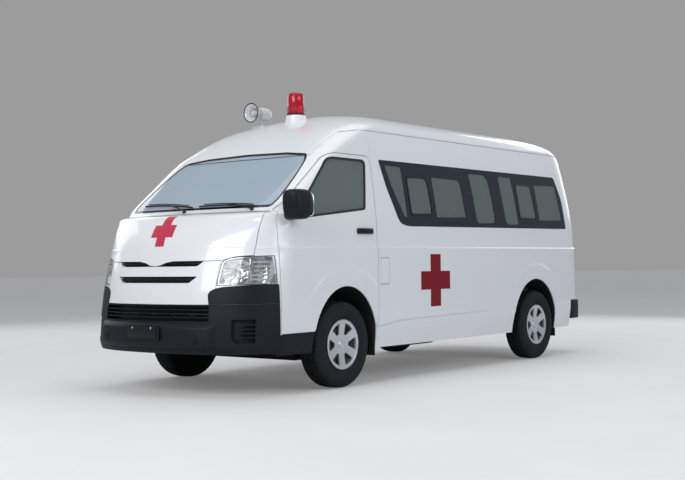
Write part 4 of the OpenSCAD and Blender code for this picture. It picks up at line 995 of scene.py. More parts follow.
def tube(name, points, radius, resolution=4):
    curve = bpy.data.curves.new(name, "CURVE")
    curve.dimensions = "3D"
    curve.bevel_depth = radius * MM
    curve.bevel_resolution = resolution
    curve.use_fill_caps = True
    spline = curve.splines.new("POLY")
    spline.points.add(len(points) - 1)
    for p, q in zip(spline.points, points):
        p.co = (q[0] * MM, q[1] * MM, q[2] * MM, 1)
    ob = bpy.data.objects.new(name, curve)
    scene.collection.objects.link(ob)
    graph = bpy.context.evaluated_depsgraph_get()
    graph.update()
    me = bpy.data.meshes.new_from_object(ob.evaluated_get(graph))
    bpy.data.objects.remove(ob)
    out = bpy.data.objects.new(name, me)
    scene.collection.objects.link(out)
    me.polygons.foreach_set("use_smooth", np.ones(len(me.polygons), bool))
    return out


# Plate bracket on the bumper
y0 = FRONT_Y - 40
finish_piece(rounded_box("plate_bracket", (-172, y0 - 10, 420), (172, y0 + 8, 532), 5), "body", "black_plastic", BUMPER)
finish_piece(rounded_box("plate_bracket_rib", (-150, y0 - 18, 438), (150, y0 - 9, 520), 3), "body", "black_plastic", BLACK)
for k, x in enumerate((-101, 101)):
    finish_piece(lathe("plate_bolt_%d" % k, [(0, 0), (8, 0), (8, 4), (5, 6), (0, 6)], 24, "-Y", (x, y0 - 17, 510)),
                 "body", "bare_steel", STEEL)

# Rear bumper
rear_outer = [(p[0] * 1.004, p[1] + (TAIL_SETBACK - 22 if p[1] > 0 else 0)) for p in ring(500, 0)]
rear_body = top_cut(rear_outer, 366, 560)
inner_line = [(p[0], p[1] + TAIL_SETBACK - 20) for p in ring(500, 60)]
rb = carve("bumper_rear", rear_body, (I, box_cut((-1000, TAIL_WRAP + 2, 300), (1000, REAR_Y + 60, 600))),
           (D, top_cut(inner_line, 300, 600)))
mod = rb.modifiers.new("bevel", "BEVEL")
mod.width, mod.segments, mod.limit_method, mod.angle_limit = 0.012, 3, "ANGLE", math.radians(50)
graph = bpy.context.evaluated_depsgraph_get()
graph.update()
rb_mesh = bpy.data.meshes.new_from_object(rb.evaluated_get(graph))
rb.modifiers.clear()
rb.data = rb_mesh
shade_smooth(rb, 40)
finish_piece(rb, "body", "grey_plastic", BUMPER, nodes=["rear_bumper"])

# ---------------------------------------------------------------- glass
screen_zone = fillet(SCREEN_LINE, SCREEN_R)
layer("windscreen_glass", 6, 12, (I, front_cut(grow(screen_zone, -20), FRONT_Y, AXLE_F)), slot="clear_glass",
      mats=(SCREEN,), nodes=["windscreen"])
layer("windscreen_frit", 5, 13, (I, front_cut(grow(screen_zone, -1), FRONT_Y, AXLE_F)),
      (D, front_cut(grow(screen_zone, -20), FRONT_Y, AXLE_F)), slot="black_plastic", mats=(GLOSS_BLACK,))
layer("cowl_strip", 3, 14, (I, front_cut([(-760, COWL_Z - 8), (760, COWL_Z - 8), (764, 1397), (-764, 1397)], FRONT_Y, AXLE_F)),
      slot="black_plastic", mats=(BLACK,))

for s, word in ((1, "left"), (-1, "right")):
    band = side_cut(fillet(BAND_LINE, BAND_R), s)
    holes = [side_cut(fillet(p, r), s) for p, r, _ in PANES]
    seams = [side_cut([(y - 2.5, 1250), (y + 2.5, 1250), (y - 47.5, 1850), (y - 52.5, 1850)], s) for y in (435, 950)]
    layer("window_band_" + word, -1.5, 2.5, (I, band), *[(D, h) for h in holes],
          slot="tinted_glass", mats=(BAND,), nodes=["side_windows"] if s > 0 else ())
    for k, seam in enumerate(seams):
        layer("band_seam_%s_%d" % (word, k), -2.2, 1, (I, seam), (I, band), slot="black_rubber", mats=(SEAL_AND_GAP_SHADE,))
    for k, (p, r, slides) in enumerate(PANES):
        layer("pane_%s_%d" % (word, k), 2, 7, (I, side_cut(grow(fillet(p, r), 8), s)), slot="tinted_glass", mats=(PANE,))
        if slides:
            outer_line, inner_line2 = ring_line(p, r, 17, 1)
            layer("slider_frame_%s_%d" % (word, k), -5, 2, (I, side_cut(outer_line, s)), (D, side_cut(inner_line2, s)),
                  slot="black_plastic", mats=(BLACK,))
    door_body = "door_" + word
    glass_line = fillet(DOOR_GLASS, DOOR_GLASS_R)
    glass_in = fillet(grow(DOOR_GLASS, -13), [24, 48, 38, 8, 8])
    layer("door_glass_" + word, 8, 13, (I, side_cut(glass_in, s, 600)), body=door_body, slot="clear_glass",
          mats=(DOORGLASS,), nodes=["door_window_" + word])
    layer("door_seal_" + word, -1, 16, (I, side_cut(grow(glass_line, 3), s, 600)), (D, side_cut(glass_in, s, 600)),
          body=door_body, slot="black_rubber", mats=(SEAL_AND_GAP_SHADE,))
    sail = [(AXLE_F - 610, BELT_H - 8), (AXLE_F - 488, BELT_H + 128), (AXLE_F - 474, BELT_H + 128), (AXLE_F - 474, BELT_H - 2)]
    layer("sail_panel_" + word, 1, 15, (I, side_cut(sail, s, 600)), body=door_body, slot="black_plastic", mats=(BLACK,))
tg = fillet(TAIL_GLASS, 50)
layer("tailgate_glass", 5, 10, (I, front_cut(grow(tg, -14), REAR_Y - 620, REAR_Y + 60)), body="tailgate", slot="tinted_glass",
      mats=(PANE,), nodes=["tailgate_window"])
layer("tailgate_seal", -1, 12, (I, front_cut(grow(tg, 2), REAR_Y - 620, REAR_Y + 60)),
      (D, front_cut(grow(tg, -15), REAR_Y - 620, REAR_Y + 60)), body="tailgate", slot="black_rubber", mats=(GLOSS_BLACK,))

# ---------------------------------------------------------------- lips, lines and decals
# Painted shade: dark strips set down in the gaps round the doors and lids stand in for the shadow inside the gaps
for s, word in ((1, "left"), (-1, "right")):
    layer("gap_shade_door_" + word, 5, 40, (I, door_cut(s, 7)), (D, door_cut(s, 2)), *[(D, a) for a in ARCHES], slot="black_rubber",
          mats=(SEAL_AND_GAP_SHADE,))
    layer("gap_shade_roof_" + word, 4, 40, (I, side_cut([(AXLE_F - 300, 1700), (REAR_Y - 320, 1700), (REAR_Y - 320, ROOF_H), (AXLE_F - 300, ROOF_H)], s, 0)),
          (I, roof_region(3)), (D, roof_region(-3)), (D, DOOR_HOLES[0]), (D, DOOR_HOLES[1]), slot="black_rubber", mats=(SEAL_AND_GAP_SHADE,))
layer("gap_shade_bonnet", 5, 40, (I, front_cut(grow(BONNET_LINE, 7), FRONT_Y - 50, FRONT_Y + 520)),
      (D, front_cut(grow(BONNET_LINE, 2), FRONT_Y - 50, FRONT_Y + 520)), slot="black_rubber", mats=(SEAL_AND_GAP_SHADE,))
layer("gap_shade_tailgate", 5, 40, (I, front_cut(fillet(grow(TAILGATE, 7), 30), REAR_Y - 620, REAR_Y + 60)),
      (D, front_cut(fillet(grow(TAILGATE, 2), 27), REAR_Y - 620, REAR_Y + 60)), slot="black_rubber", mats=(SEAL_AND_GAP_SHADE,))
layer("gap_shade_sliding", 5, 40, (I, side_cut(fillet(grow(SLIDE, 5), 44), -1)), (D, side_cut(fillet(grow(SLIDE, 0), 41), -1)),
      slot="black_rubber", mats=(SEAL_AND_GAP_SHADE,))

for s in (-1, 1):
    # Black sill behind the front bumper, up to the wheel
    layer("sill_front_%d" % (s + 1), 0, 50, (I, side_cut([(DOOR_FRONT_Y - 20, 300), (DOOR_FRONT_Y - 20, 453), (ARCH_F[0], 453), (ARCH_F[0], 300)], s, 600)),
          *[(D, a) for a in ARCHES], slot="black_plastic", mats=(BUMPER,))
    # Dark inner edges of the wheel arches
    for k, (y, a) in enumerate((ARCH_F, ARCH_R)):
        rim = [(I, side_cut(arch_points(y, a, 0.6), s)), (D, side_cut(arch_points(y, a, -3), s))]
        if k == 0:
            layer("arch_edge_door_%d" % (s + 1), 8, 56, *rim, (I, door_cut(s, 0)), body="door_left" if s > 0 else "door_right",
                  slot="black_plastic", mats=(UNDER,))
            layer("arch_edge_sill_%d" % (s + 1), 8, 56, *rim, (I, box_cut((-1000, FRONT_Y, 0), (1000, REAR_Y, 455))), slot="black_plastic",
                  mats=(UNDER,))
        else:
            layer("arch_edge_rear_%d" % (s + 1), 8, 56, *rim, slot="black_plastic", mats=(UNDER,))
    # Splash guard behind the front wheel
    guard = rounded_box("splash_guard_%d" % (s + 1), (736, ARCH_F[0] + 376, 224), (918, ARCH_F[0] + 386, 640), 3, 2)
    if s < 0:
        guard.data.transform(Matrix.Scale(-1, 4, Vector((1, 0, 0))))
        guard.data.flip_normals()
    finish_piece(guard, "body", "black_rubber", SEAL_AND_GAP_SHADE)

for s in (-1, 1):
    for k, (y, a) in enumerate((ARCH_F, ARCH_R)):
        steps = [(I, side_cut(arch_points(y, a, 14), s)), (D, side_cut(arch_points(y, a, -0.5), s)),
                 (I, box_cut((-1000, DOOR_FRONT_Y, 470), (1000, REAR_Y, 900)))]
        if k == 0:
            steps.append((I, door_cut(s, 0)))
            body_name = "door_left" if s > 0 else "door_right"
        else:
            body_name = "body"
        layer("arch_lip_%d_%d" % (s + 1, k), -2.5, 6, *steps, body=body_name, slot="white_paint", mats=(WHITE,))


def cross(cx, cz, size, arm, lean=0.0):
    h, a = size / 2, arm / 2
    pts = [(-a, -h), (a, -h), (a, -a), (h, -a), (h, a), (a, a), (a, h), (-a, h), (-a, a), (-h, a), (-h, -a), (-a, -a)]
    return [(cx + x + lean * z, cz + z) for x, z in pts]


layer("cross_left", -0.7, 1, (I, side_cut(cross(-213, 815, 452, 158), 1)), slot="white_paint", mats=(RED,))
layer("cross_right", -0.7, 1, (I, side_cut(cross(500, 815, 452, 158), -1)), slot="white_paint", mats=(RED,))
# The front cross takes the lighter, painted-lit copy of the red
layer("cross_front_lit", -0.7, 1, (I, front_cut(cross(-28, 1232, 236, 96, -0.22), FRONT_Y - 50, FRONT_Y + 420)), body="bonnet",
      slot="white_paint", mats=(RED_FRONT_LIT,))
layer("cross_rear", -0.7, 1, (I, front_cut(cross(0, 1060, 300, 104), REAR_Y - 400, REAR_Y + 60)), body="tailgate",
      slot="white_paint", mats=(RED,))

# Fuel flap
flap = carve("flap_skin", SHELL, (I, side_cut(fillet(FLAP, 14), 1, HALF - 14)))
surface_shading(flap)
finish_piece(flap, "fuel_flap", "white_paint", WHITE, nodes=["fuel_flap"])
fb = carve("flap_bay", SHELL, (I, side_cut(grow(FLAP, 12), 1, HALF - 48, HALF - 30)))
finish_piece(fb, "body", "black_plastic", BLACK)

# Hinge pins, down in the gaps that the doors and lids turn about
pins = [(s * 905.0, DOOR_FRONT_Y - 2, z, "Z") for s in (-1, 1) for z in (560, 940)]
pins += [(s * 450.0, tail_y(450, TAILGATE_TOP_Z) - 20, TAILGATE_TOP_Z + 2, "X") for s in (-1, 1)]
pins += [(s * 380.0, nose_y(380, COWL_Z - 16) + 26, COWL_Z - 26, "X") for s in (-1, 1)]
for k, (x, y, z, axis) in enumerate(pins):
    finish_piece(lathe("hinge_pin_%d" % k, [(0, -38), (4, -38), (5, -36), (5, 36), (4, 38), (0, 38)], 20, axis, (x, y, z)), "body",
                 "bare_steel", STEEL, nodes=["hinge_pins"] if k == 0 else ())

# Door handles: a black grip over a shallow cup
for s, word in ((1, "left"), (-1, "right")):
    hx = side_x(-1212, 1220)
    grip = rounded_box("handle_" + word, (hx - 4, -1312, 1204), (hx + 24, -1114, 1250), 11, 4)
    if s < 0:
        grip.data.transform(Matrix.Scale(-1, 4, Vector((1, 0, 0))))
        grip.data.flip_normals()
    finish_piece(grip, "door_" + word, "black_plastic", BLACK)
    layer("handle_cup_" + word, -0.8, 3, (I, side_cut(fillet([(-1318, 1150), (-1130, 1150), (-1108, 1262), (-1324, 1262)], 30), s)),
          body="door_" + word, slot="white_paint", mats=(WHITE,))
hx = side_x(-880, 1220)
grip = rounded_box("handle_sliding", (-hx - 20, -900, 1203), (-hx + 4, -720, 1234), 9, 4)
finish_piece(grip, "body", "black_plastic", BLACK)
ty = tail_y(0, 880)
finish_piece(rounded_box("handle_tailgate", (-190, ty - 4, 862), (190, ty + 24, 898), 9, 4), "tailgate", "black_plastic", BLACK)
finish_piece(rounded_box("plate_blank", (-260, ty - 14, 712), (260, ty - 6, 822), 3), "tailgate", "white_plastic", PLATE)

# ---------------------------------------------------------------- head and tail lamps
for s, word in ((1, "left"), (-1, "right")):
    cut = LAMP_CUTS[1] if s > 0 else LAMP_CUTS[0]
    inset = front_cut(grow([(s * x, z) for x, z in LAMP_LINE], -3), FRONT_Y - 50, DOOR_FRONT_Y - 28)
    layer("lamp_cover_" + word, 1, 5, (I, cut), slot="lamp_clear", mats=(LENS_CLEAR,), nodes=["headlamps"] if s > 0 else ())
    layer("lamp_back_" + word, 62, 68, (I, inset), slot="lamp_clear", mats=(CHROME,))
    rim_in = front_cut(grow([(s * x, z) for x, z in LAMP_LINE], -9), FRONT_Y - 50, DOOR_FRONT_Y - 33)
    layer("lamp_rim_" + word, 6, 62, (I, inset), (D, rim_in), slot="lamp_clear", mats=(LAMP_GREY,))
    # Main reflector, faceted round its bulb
    cy = nose_y(688, 925)
    rays = 40
    verts, faces = [], []
    dish = [(12, 70), (30, 56), (52, 38), (74, 20), (90, 8)]
    for k in range(rays):
        a = 2 * math.pi * k / rays
        deep = 7 if k % 4 < 2 else 0
        for r, h in dish:
            x, z = 688 + r * math.cos(a), 925 + r * math.sin(a)
            x, z = max(604, min(770, x)), max(834, min(1006, z))
            verts.append(Vector((s * x, nose_y(x, z) + 10 + h + deep * (r / 90), z)) * MM)
    n = len(dish)
    for k in range(rays):
        b = (k + 1) % rays
        for i in range(n - 1):
            faces.append((k * n + i, b * n + i, b * n + i + 1, k * n + i + 1))
    faces.append(tuple(k * n for k in range(rays))[::-1])
    finish_piece(mesh_object("lamp_dish_" + word, verts, faces), "body", "lamp_clear", CHROME)
    finish_piece(lathe("lamp_bulb_" + word, [(0, 4), (7, 6), (9, 20), (9, 42), (0, 50)], 24, "-Y", (s * 688, cy + 80, 925)),
                 "body", "lamp_clear", TAIL_WHITE)
    finish_piece(lathe("lamp_shield_" + word, [(0, 0), (13, 0), (15, 10), (12, 12), (0, 12)], 24, "-Y", (s * 688, cy + 34, 925)),
                 "body", "lamp_clear", BLACK)
    # Wall between the two halves, and level flutes behind the turn lamp
    yy = nose_y(778, 930)
    wall_piece = rounded_box("lamp_wall_" + word, (774, yy + 14, 838), (782, yy + 90, 1014), 3, 2)
    pieces = [wall_piece]
    for k in range(5):
        z = 862 + 32 * k
        path = [(x, nose_y(x, z) + 34, z) for x in np.linspace(790, 872 - 4 * abs(k - 2), 8)]
        pieces.append(tube("lamp_flute_%s_%d" % (word, k), path, 8))
    for piece in pieces:
        if s < 0:
            piece.data.transform(Matrix.Scale(-1, 4, Vector((1, 0, 0))))
            piece.data.flip_normals()
        finish_piece(piece, "body", "lamp_clear", CHROME)
    finish_piece(lathe("lamp_turn_" + word, [(0, 0), (10, 3), (14, 12), (11, 26), (0, 30)], 24, "-Y", (s * 826, nose_y(826, 934) + 50, 934)),
                 "body", "lamp_clear", AMBER)
    # Tail lamps in three colours
    lamp = TAIL_LAMPS[1] if s > 0 else TAIL_LAMPS[0]
    for k, (lo, hi, mat) in enumerate(((704, 880, TAIL_WHITE), (882, 1060, TAIL_AMBER), (1062, BELT_H - 24, TAIL_RED))):
        ob = carve("tail_lamp_%s_%d" % (word, k), SHELL, (I, lamp), (D, TAILGATE_HOLE),
                   (I, box_cut((-1000, REAR_Y - 400, lo), (1000, REAR_Y + 60, hi))))
        surface_shading(ob)
        finish_piece(ob, "body", "lamp_red", mat, nodes=["tail_lamps"] if s > 0 and k == 0 else ())

# ---------------------------------------------------------------- wipers
def on_glass(x, z, d):
    y = nose_y(x, z)
    n, _ = surface_normals(np.array([[x, y, z]], float))
    return tuple(np.array([x, y, z]) + n[0] * d)


for k, (x0, x1, z0, z1) in enumerate(((-640, -30, 1452, 1418), (40, 660, 1424, 1404))):
    blade = [on_glass(x0 + (x1 - x0) * t, z0 + (z1 - z0) * t + 10 * math.sin(math.pi * t), 7) for t in np.linspace(0, 1, 14)]
    finish_piece(tube("wiper_blade_%d" % k, blade, 6), "body", "black_plastic", SEAL_AND_GAP_SHADE, nodes=["wipers"] if k == 0 else ())
    spine = [on_glass(x0 + (x1 - x0) * t, z0 + (z1 - z0) * t + 10 * math.sin(math.pi * t) + 6, 15) for t in np.linspace(0.08, 0.92, 10)]
    finish_piece(tube("wiper_spine_%d" % k, spine, 4), "body", "black_plastic", BLACK)
    xm, zm = x0 + (x1 - x0) * 0.48, z0 + (z1 - z0) * 0.48 + 16
    pivot = x0 + (x1 - x0) * 0.94
    arm = [on_glass(pivot + (xm - pivot) * t, (COWL_Z + 6) + (zm - COWL_Z - 6) * t, 12 + 10 * math.sin(math.pi * t)) for t in np.linspace(0, 1, 8)]
    finish_piece(tube("wiper_arm_%d" % k, arm, 5.5), "body", "black_plastic", BLACK)
    finish_piece(lathe("wiper_pivot_%d" % k, [(0, -12), (15, -12), (15, 10), (10, 16), (0, 17)], 24, "Z", on_glass(pivot, COWL_Z + 6, 4)),
                 "body", "black_plastic", BLACK)

# ---------------------------------------------------------------- door mirror
def soft_block(name, low, high, power=3.2, rings_n=22, seg=40, bulge=None):
    """A rounded block: a superellipsoid between two corners, optionally shaped further."""
    lo, hi = Vector(low), Vector(high)
    mid, half_size = (lo + hi) / 2, (hi - lo) / 2
    verts, faces = [], []
    for i in range(rings_n + 1):
        v = -math.pi / 2 + math.pi * i / rings_n
        for j in range(seg):
            u = 2 * math.pi * j / seg
            c, s_ = math.cos(v), math.sin(v)
            k = 2 / power
            sg = lambda t, q: math.copysign(abs(t) ** q, t)
            p = Vector((sg(c, k) * sg(math.cos(u), k), sg(c, k) * sg(math.sin(u), k), sg(s_, k)))
            if bulge:
                p = Vector(bulge(p))
            verts.append((mid + Vector((p.x * half_size.x, p.y * half_size.y, p.z * half_size.z))) * MM)
    for i in range(rings_n):
        for j in range(seg):
            b = (j + 1) % seg
            faces.append((i * seg + j, i * seg + b, (i + 1) * seg + b, (i + 1) * seg + j))
    ob = mesh_object(name, verts, faces)
    bm = bmesh.new()
    bm.from_mesh(ob.data)
    bmesh.ops.remove_doubles(bm, verts=bm.verts, dist=2e-5)
    bmesh.ops.recalc_face_normals(bm, faces=bm.faces)
    bm.to_mesh(ob.data)
    bm.free()
    ob.data.polygons.foreach_set("use_smooth", np.ones(len(ob.data.polygons), bool))
    return ob


def mirror_shape(p):
    taper = 1 - 0.12 * max(0, p.z)
    return (p.x * taper, p.y * (0.86 + 0.14 * p.z) + 0.1 * p.x, p.z)


housing = soft_block("mirror_housing", (938, -2250, 1298), (1100, -2034, 1520), 4.0, 26, 48, mirror_shape)
finish_piece(housing, "door_left", "black_plastic", BUMPER, nodes=["mirror_left"])
finish_piece(soft_block("mirror_glass", (952, -2046, 1320), (1088, -2030, 1496), 5.0, 16, 40), "door_left", "black_plastic", MIRROR)
foot_x = side_x(-2080, 1330)
finish_piece(soft_block("mirror_arm", (foot_x - 6, -2190, 1296), (1000, -2100, 1376), 3.0), "door_left", "black_plastic", BUMPER)

# ---------------------------------------------------------------- beacon and siren horn
BEACON_Y = AXLE_F + 530
bz = roof_z(0, BEACON_Y)


def beacon_foot(name, r_top, r_low, top, sink):
    """A tapered foot whose lower rim follows the roof."""
    seg, rows = 72, 10
    verts, faces = [], []
    for i in range(rows + 1):
        t = i / rows
        for j in range(seg):
            a = 2 * math.pi * j / seg
            r = r_low + (r_top - r_low) * t ** 0.8
            x, y = r * math.cos(a), BEACON_Y + r * math.sin(a)
            xr, yr = r_low * math.cos(a), BEACON_Y + r_low * math.sin(a)
            z_low = roof_z(xr, yr) - sink
            verts.append(Vector((x, y, z_low + (top - z_low) * t)) * MM)
    for i in range(rows):
        for j in range(seg):
            b = (j + 1) % seg
            faces.append((i * seg + j, i * seg + b, (i + 1) * seg + b, (i + 1) * seg + j))
    faces.append(tuple(range(seg))[::-1])
    faces.append(tuple(range(rows * seg, rows * seg + seg)))
    ob = outward(mesh_object(name, verts, faces))
    shade_smooth(ob, 40)
    return ob


finish_piece(beacon_foot("beacon_foot", 82, 101, bz + 52, 1), "body", "white_plastic", BEACON_WHITE, nodes=["beacon_base"])
finish_piece(lathe("beacon_collar", [(66, 0), (79, 0), (81, 3), (81, 12), (77, 15), (66, 15)], 72, "Z", (0, BEACON_Y, bz + 52)),
             "body", "white_plastic", BLACK)
# Lens: a ribbed lower band under a plain dome
lens_profile_out = [(67, 15), (67, 24), (68.5, 27), (66.5, 30), (68.5, 33), (66.5, 36), (68.5, 39), (66.5, 42), (68.5, 45),
                    (66.5, 48), (68.5, 51), (66.5, 54), (68.5, 57), (66.5, 60), (68.5, 63), (66.5, 66), (68.5, 69), (66, 72),
                    (65, 140), (63, 160), (57, 174), (44, 184), (24, 189), (0, 190)]
lens_profile = lens_profile_out + [(0, 186), (24, 185), (42, 180), (53, 171), (59, 158), (61, 140), (61, 15)]
lens_profile = [(r * 1.12, 15 + (h - 15) * 1.08) for r, h in lens_profile]
finish_piece(lathe("beacon_dome", lens_profile, 96, "Z", (0, BEACON_Y, bz + 52), closed=False), "body", "beacon_lens", RED_LENS,
             nodes=["beacon_lens"])
finish_piece(lathe("beacon_bulb", [(0, 60), (9, 62), (12, 74), (13, 90), (9, 102), (0, 106)], 32, "Z", (0, BEACON_Y, bz + 52)),
             "body", "beacon_lens", TAIL_WHITE)
refl = []
for i in range(13):
    a = math.radians(-75 + 150 * i / 12)
    refl.append((46 * math.sin(a), 40 * math.cos(a) - 4))
verts, faces = [], []
for z in (22, 150):
    for x, y in refl:
        verts.append(Vector((x, BEACON_Y + y + 2, bz + 52 + z)) * MM)
    for x, y in refl:
        verts.append(Vector((x * 0.94, BEACON_Y + y * 0.94 + 2, bz + 52 + z)) * MM)
n = len(refl)
for i in range(n - 1):
    faces += [(i, i + 1, 2 * n + i + 1, 2 * n + i), (n + i, 3 * n + i, 3 * n + i + 1, n + i + 1), (i, n + i, n + i + 1, i + 1),
              (2 * n + i, 2 * n + i + 1, 3 * n + i + 1, 3 * n + i)]
faces += [(0, 2 * n, 3 * n, n), (n - 1, 2 * n - 1, 4 * n - 1, 3 * n - 1)]
ob = outward(mesh_object("beacon_mirror", verts, faces))
shade_smooth(ob, 40)
finish_piece(ob, "beacon_reflector", "beacon_mirror", MIRROR, nodes=["beacon_reflector"])

HORN_X, HORN_Y = -410, AXLE_F + 520
hz = roof_z(HORN_X, HORN_Y)
horn_mid = hz + 118
bell = [(20, 20), (22, 0), (26, -30), (36, -66), (54, -98), (78, -120), (82, -121), (84, -118), (82, -114), (60, -92), (42, -62),
        (32, -30), (29, 0), (29, 20)]
finish_piece(lathe("horn_bell", [(r, -h) for r, h in bell], 64, "-Y", (HORN_X, HORN_Y, horn_mid)), "body", "horn_grey", HORN,
             nodes=["siren_horn"])
finish_piece(lathe("horn_cone", [(0, 108), (12, 104), (26, 84), (30, 60), (30, 44), (24, 40), (0, 40)], 48, "-Y", (HORN_X, HORN_Y, horn_mid)),
             "body", "horn_grey", HORN)
finish_piece(lathe("horn_driver", [(0, 12), (44, 10), (54, 2), (58, -10), (58, -76), (54, -96), (42, -106), (0, -108)], 56, "-Y",
                   (HORN_X, HORN_Y, horn_mid)), "body", "horn_grey", HORN)
finish_piece(lathe("horn_rim", [(80, 116), (85, 117), (87, 121), (85, 125), (80, 124), (78, 121)], 64, "-Y", (HORN_X, HORN_Y, horn_mid)),
             "body", "horn_grey", BLACK)
finish_piece(rounded_box("horn_bracket", (HORN_X - 58, HORN_Y - 40, hz - 22), (HORN_X + 58, HORN_Y + 40, hz + 14), 8), "body", "horn_grey", HORN)
finish_piece(lathe("horn_stem", [(0, 0), (20, 0), (16, 16), (16, 74), (0, 76)], 32, "Z", (HORN_X, HORN_Y, hz + 12)), "body", "horn_grey", HORN)

# ---------------------------------------------------------------- wheels
def tyre_mesh(name, cx, cy, side):
    """Tyre with four grooves round it and blocks across the shoulders."""
    half_w = TYRE_W / 2
    profile = [(RIM_R + 2, 70), (RIM_R + 6, 80), (RIM_R + 20, 87), (RIM_R + 42, 94), (RIM_R + 66, 97.5), (RIM_R + 92, 96.5),
               (RIM_R + 116, 92), (RIM_R + 130, 84), (RIM_R + 138, 78), (TYRE_R - 4, 70), (TYRE_R - 2.5, 56), (TYRE_R - 2, 52),
               (TYRE_R - 9, 51), (TYRE_R - 9, 44), (TYRE_R - 1, 43), (TYRE_R, 20), (TYRE_R, 14), (TYRE_R - 8, 13), (TYRE_R - 8, 6),
               (TYRE_R, 5)]
    full = profile + [(r, -w) for r, w in profile[::-1]]
    n, seg = len(full), 288
    verts, faces = [], []
    for k in range(seg):
        a = 2 * math.pi * k / seg
        sipe = k % 6 == 0
        for r, w in full:
            aw = abs(w)
            if sipe and r > TYRE_R - 16 and aw > 43:
                r -= 6
            elif k % 6 == 3 and 14 <= aw <= 43 and r > TYRE_R - 3:
                r -= 4
            if 60 < aw and r < TYRE_R - 30 and r > RIM_R + 60 and r < RIM_R + 70:
                r += 1.2 if k % 2 else 0
            verts.append(Vector((cx + w, cy + r * math.cos(a), HUB_Z + r * math.sin(a))) * MM)
    for k in range(seg):
        b = (k + 1) % seg
        for i in range(n - 1):
            faces.append((k * n + i, b * n + i, b * n + i + 1, k * n + i + 1))
        faces.append((k * n + n - 1, b * n + n - 1, b * n, k * n))
    ob = outward(mesh_object(name, verts, faces))
    shade_smooth(ob, 28)
    return ob


COVER = [(0, 70), (30, 72), (34, 69), (60, 68), (110, 74), (150, 80), (172, 85), (186, 90), (193, 88), (196, 82), (194, 74), (186, 70),
         (170, 66), (110, 58), (60, 56), (0, 58)]


def wheel_cover(name, cx, cy, side):
    disc = lathe("disc", COVER, 144, "X" if side > 0 else "-X", (cx, cy, HUB_Z))
    steps = []
    for k in range(6):
        a0 = math.radians(60 * k + 30 + 90)
        pts = []
        for r, w in ((72, 9.0), (172, 19.5)):
            pts.append((r, math.radians(w)))
        outline = []
        for t in np.linspace(-1, 1, 9):
            outline.append((168 * math.cos(a0 + t * math.radians(17.5)), 168 * math.sin(a0 + t * math.radians(17.5))))
        for t in np.linspace(1, -1, 5):
            outline.append((84 * math.cos(a0 + t * math.radians(9)), 84 * math.sin(a0 + t * math.radians(9))))
        outline = fillet(outline[:1] + outline[1:9] + outline[9:], 5, 2)
        place = lambda p, t: (t, cy + p[0], HUB_Z + p[1])
        lo, hi = sorted((cx + side * 20, cx + side * 120))
        steps.append((D, prism(outline, place, lo, hi)))
    ob = carve(name, disc, *steps)
    bpy.data.objects.remove(disc)
    shade_smooth(ob, 32)
    return ob


for word, cx, cy, side in (("front_left", TRACK / 2, AXLE_F, 1), ("front_right", -TRACK / 2, AXLE_F, -1),
                           ("rear_left", TRACK / 2, AXLE_R, 1), ("rear_right", -TRACK / 2, AXLE_R, -1)):
    body_name = "wheel_" + word
    finish_piece(tyre_mesh("tyre_tread_" + word, cx, cy, side), body_name, "tyre_rubber", TYRE, nodes=["tyre_" + word])
    finish_piece(wheel_cover("cover_" + word, cx, cy, side), body_name, "cover_silver", SILVER)
    ax = "X" if side > 0 else "-X"
    steel = [(34, 20), (60, 24), (110, 40), (150, 34), (172, 20), (174, -70), (190, -84), (196, -92), (200, -92), (198, -80), (182, -68),
             (180, 60), (194, 80), (198, 88), (202, 88), (200, 74), (186, 56), (176, 62), (150, 44), (110, 52), (60, 40), (34, 36)]
    rim = lathe("rim_" + word, steel, 96, ax, (cx, cy, HUB_Z))
    finish_piece(rim, body_name, "cover_silver", WHEEL_DARK, nodes=["wheel_" + word])
    finish_piece(lathe("hub_cap_" + word, [(0, 84), (18, 83), (30, 79), (34, 72), (34, 66), (0, 66)], 64, ax, (cx, cy, HUB_Z)),
                 body_name, "cover_silver", SILVER)

# Liners over the wheels
for s in (-1, 1):
    for k, (y, a) in enumerate((ARCH_F, ARCH_R)):
        pts_out = arch_points(y, a, 8)[1:-1]
        pts_in = arch_points(y, a, 3)[1:-1]
        outline = pts_out + pts_in[::-1]
        x0, x1 = (560, 884) if k == 0 else (700, 884)
        lo, hi = (x0, x1) if s > 0 else (-x1, -x0)
        ob = prism(outline, lambda p, t: (t, p[0], p[1]), lo, hi)
        cutters.objects.unlink(ob)
        scene.collection.objects.link(ob)
        ob.name = "arch_liner_%d_%d" % (s + 1, k)
        shade_smooth(ob, 40)
        finish_piece(ob, "body", "black_plastic", UNDER)

# ---------------------------------------------------------------- seats and inside
def cushion(name, low, high, place=None, power=4.0, channels=0, crown=0.10, body="body", mat=CLOTH, axis="x"):
    def shape(p):
        x, y, z = p
        edge = (1 - abs(x) ** 2.5) * (1 - abs(y) ** 2.5)
        z = z * (0.86 + crown * 1.4 * max(0, edge))
        if channels:
            u = y if axis == "y" else x
            z -= math.copysign(0.07, z) * max(0, math.cos(u * math.pi * channels)) ** 12 * (1 if abs(z) > 0.3 else 0)
        pinch = 1 - 0.05 * (1 - abs(z)) * (1 if abs(x) < 0.97 else 0)
        return (x * pinch, y * pinch, z)
    ob = soft_block(name, low, high, power, 30, 72, shape)
    if place is not None:
        ob.data.transform(place)
    finish_piece(ob, body, "seat_fabric", mat)
    return ob


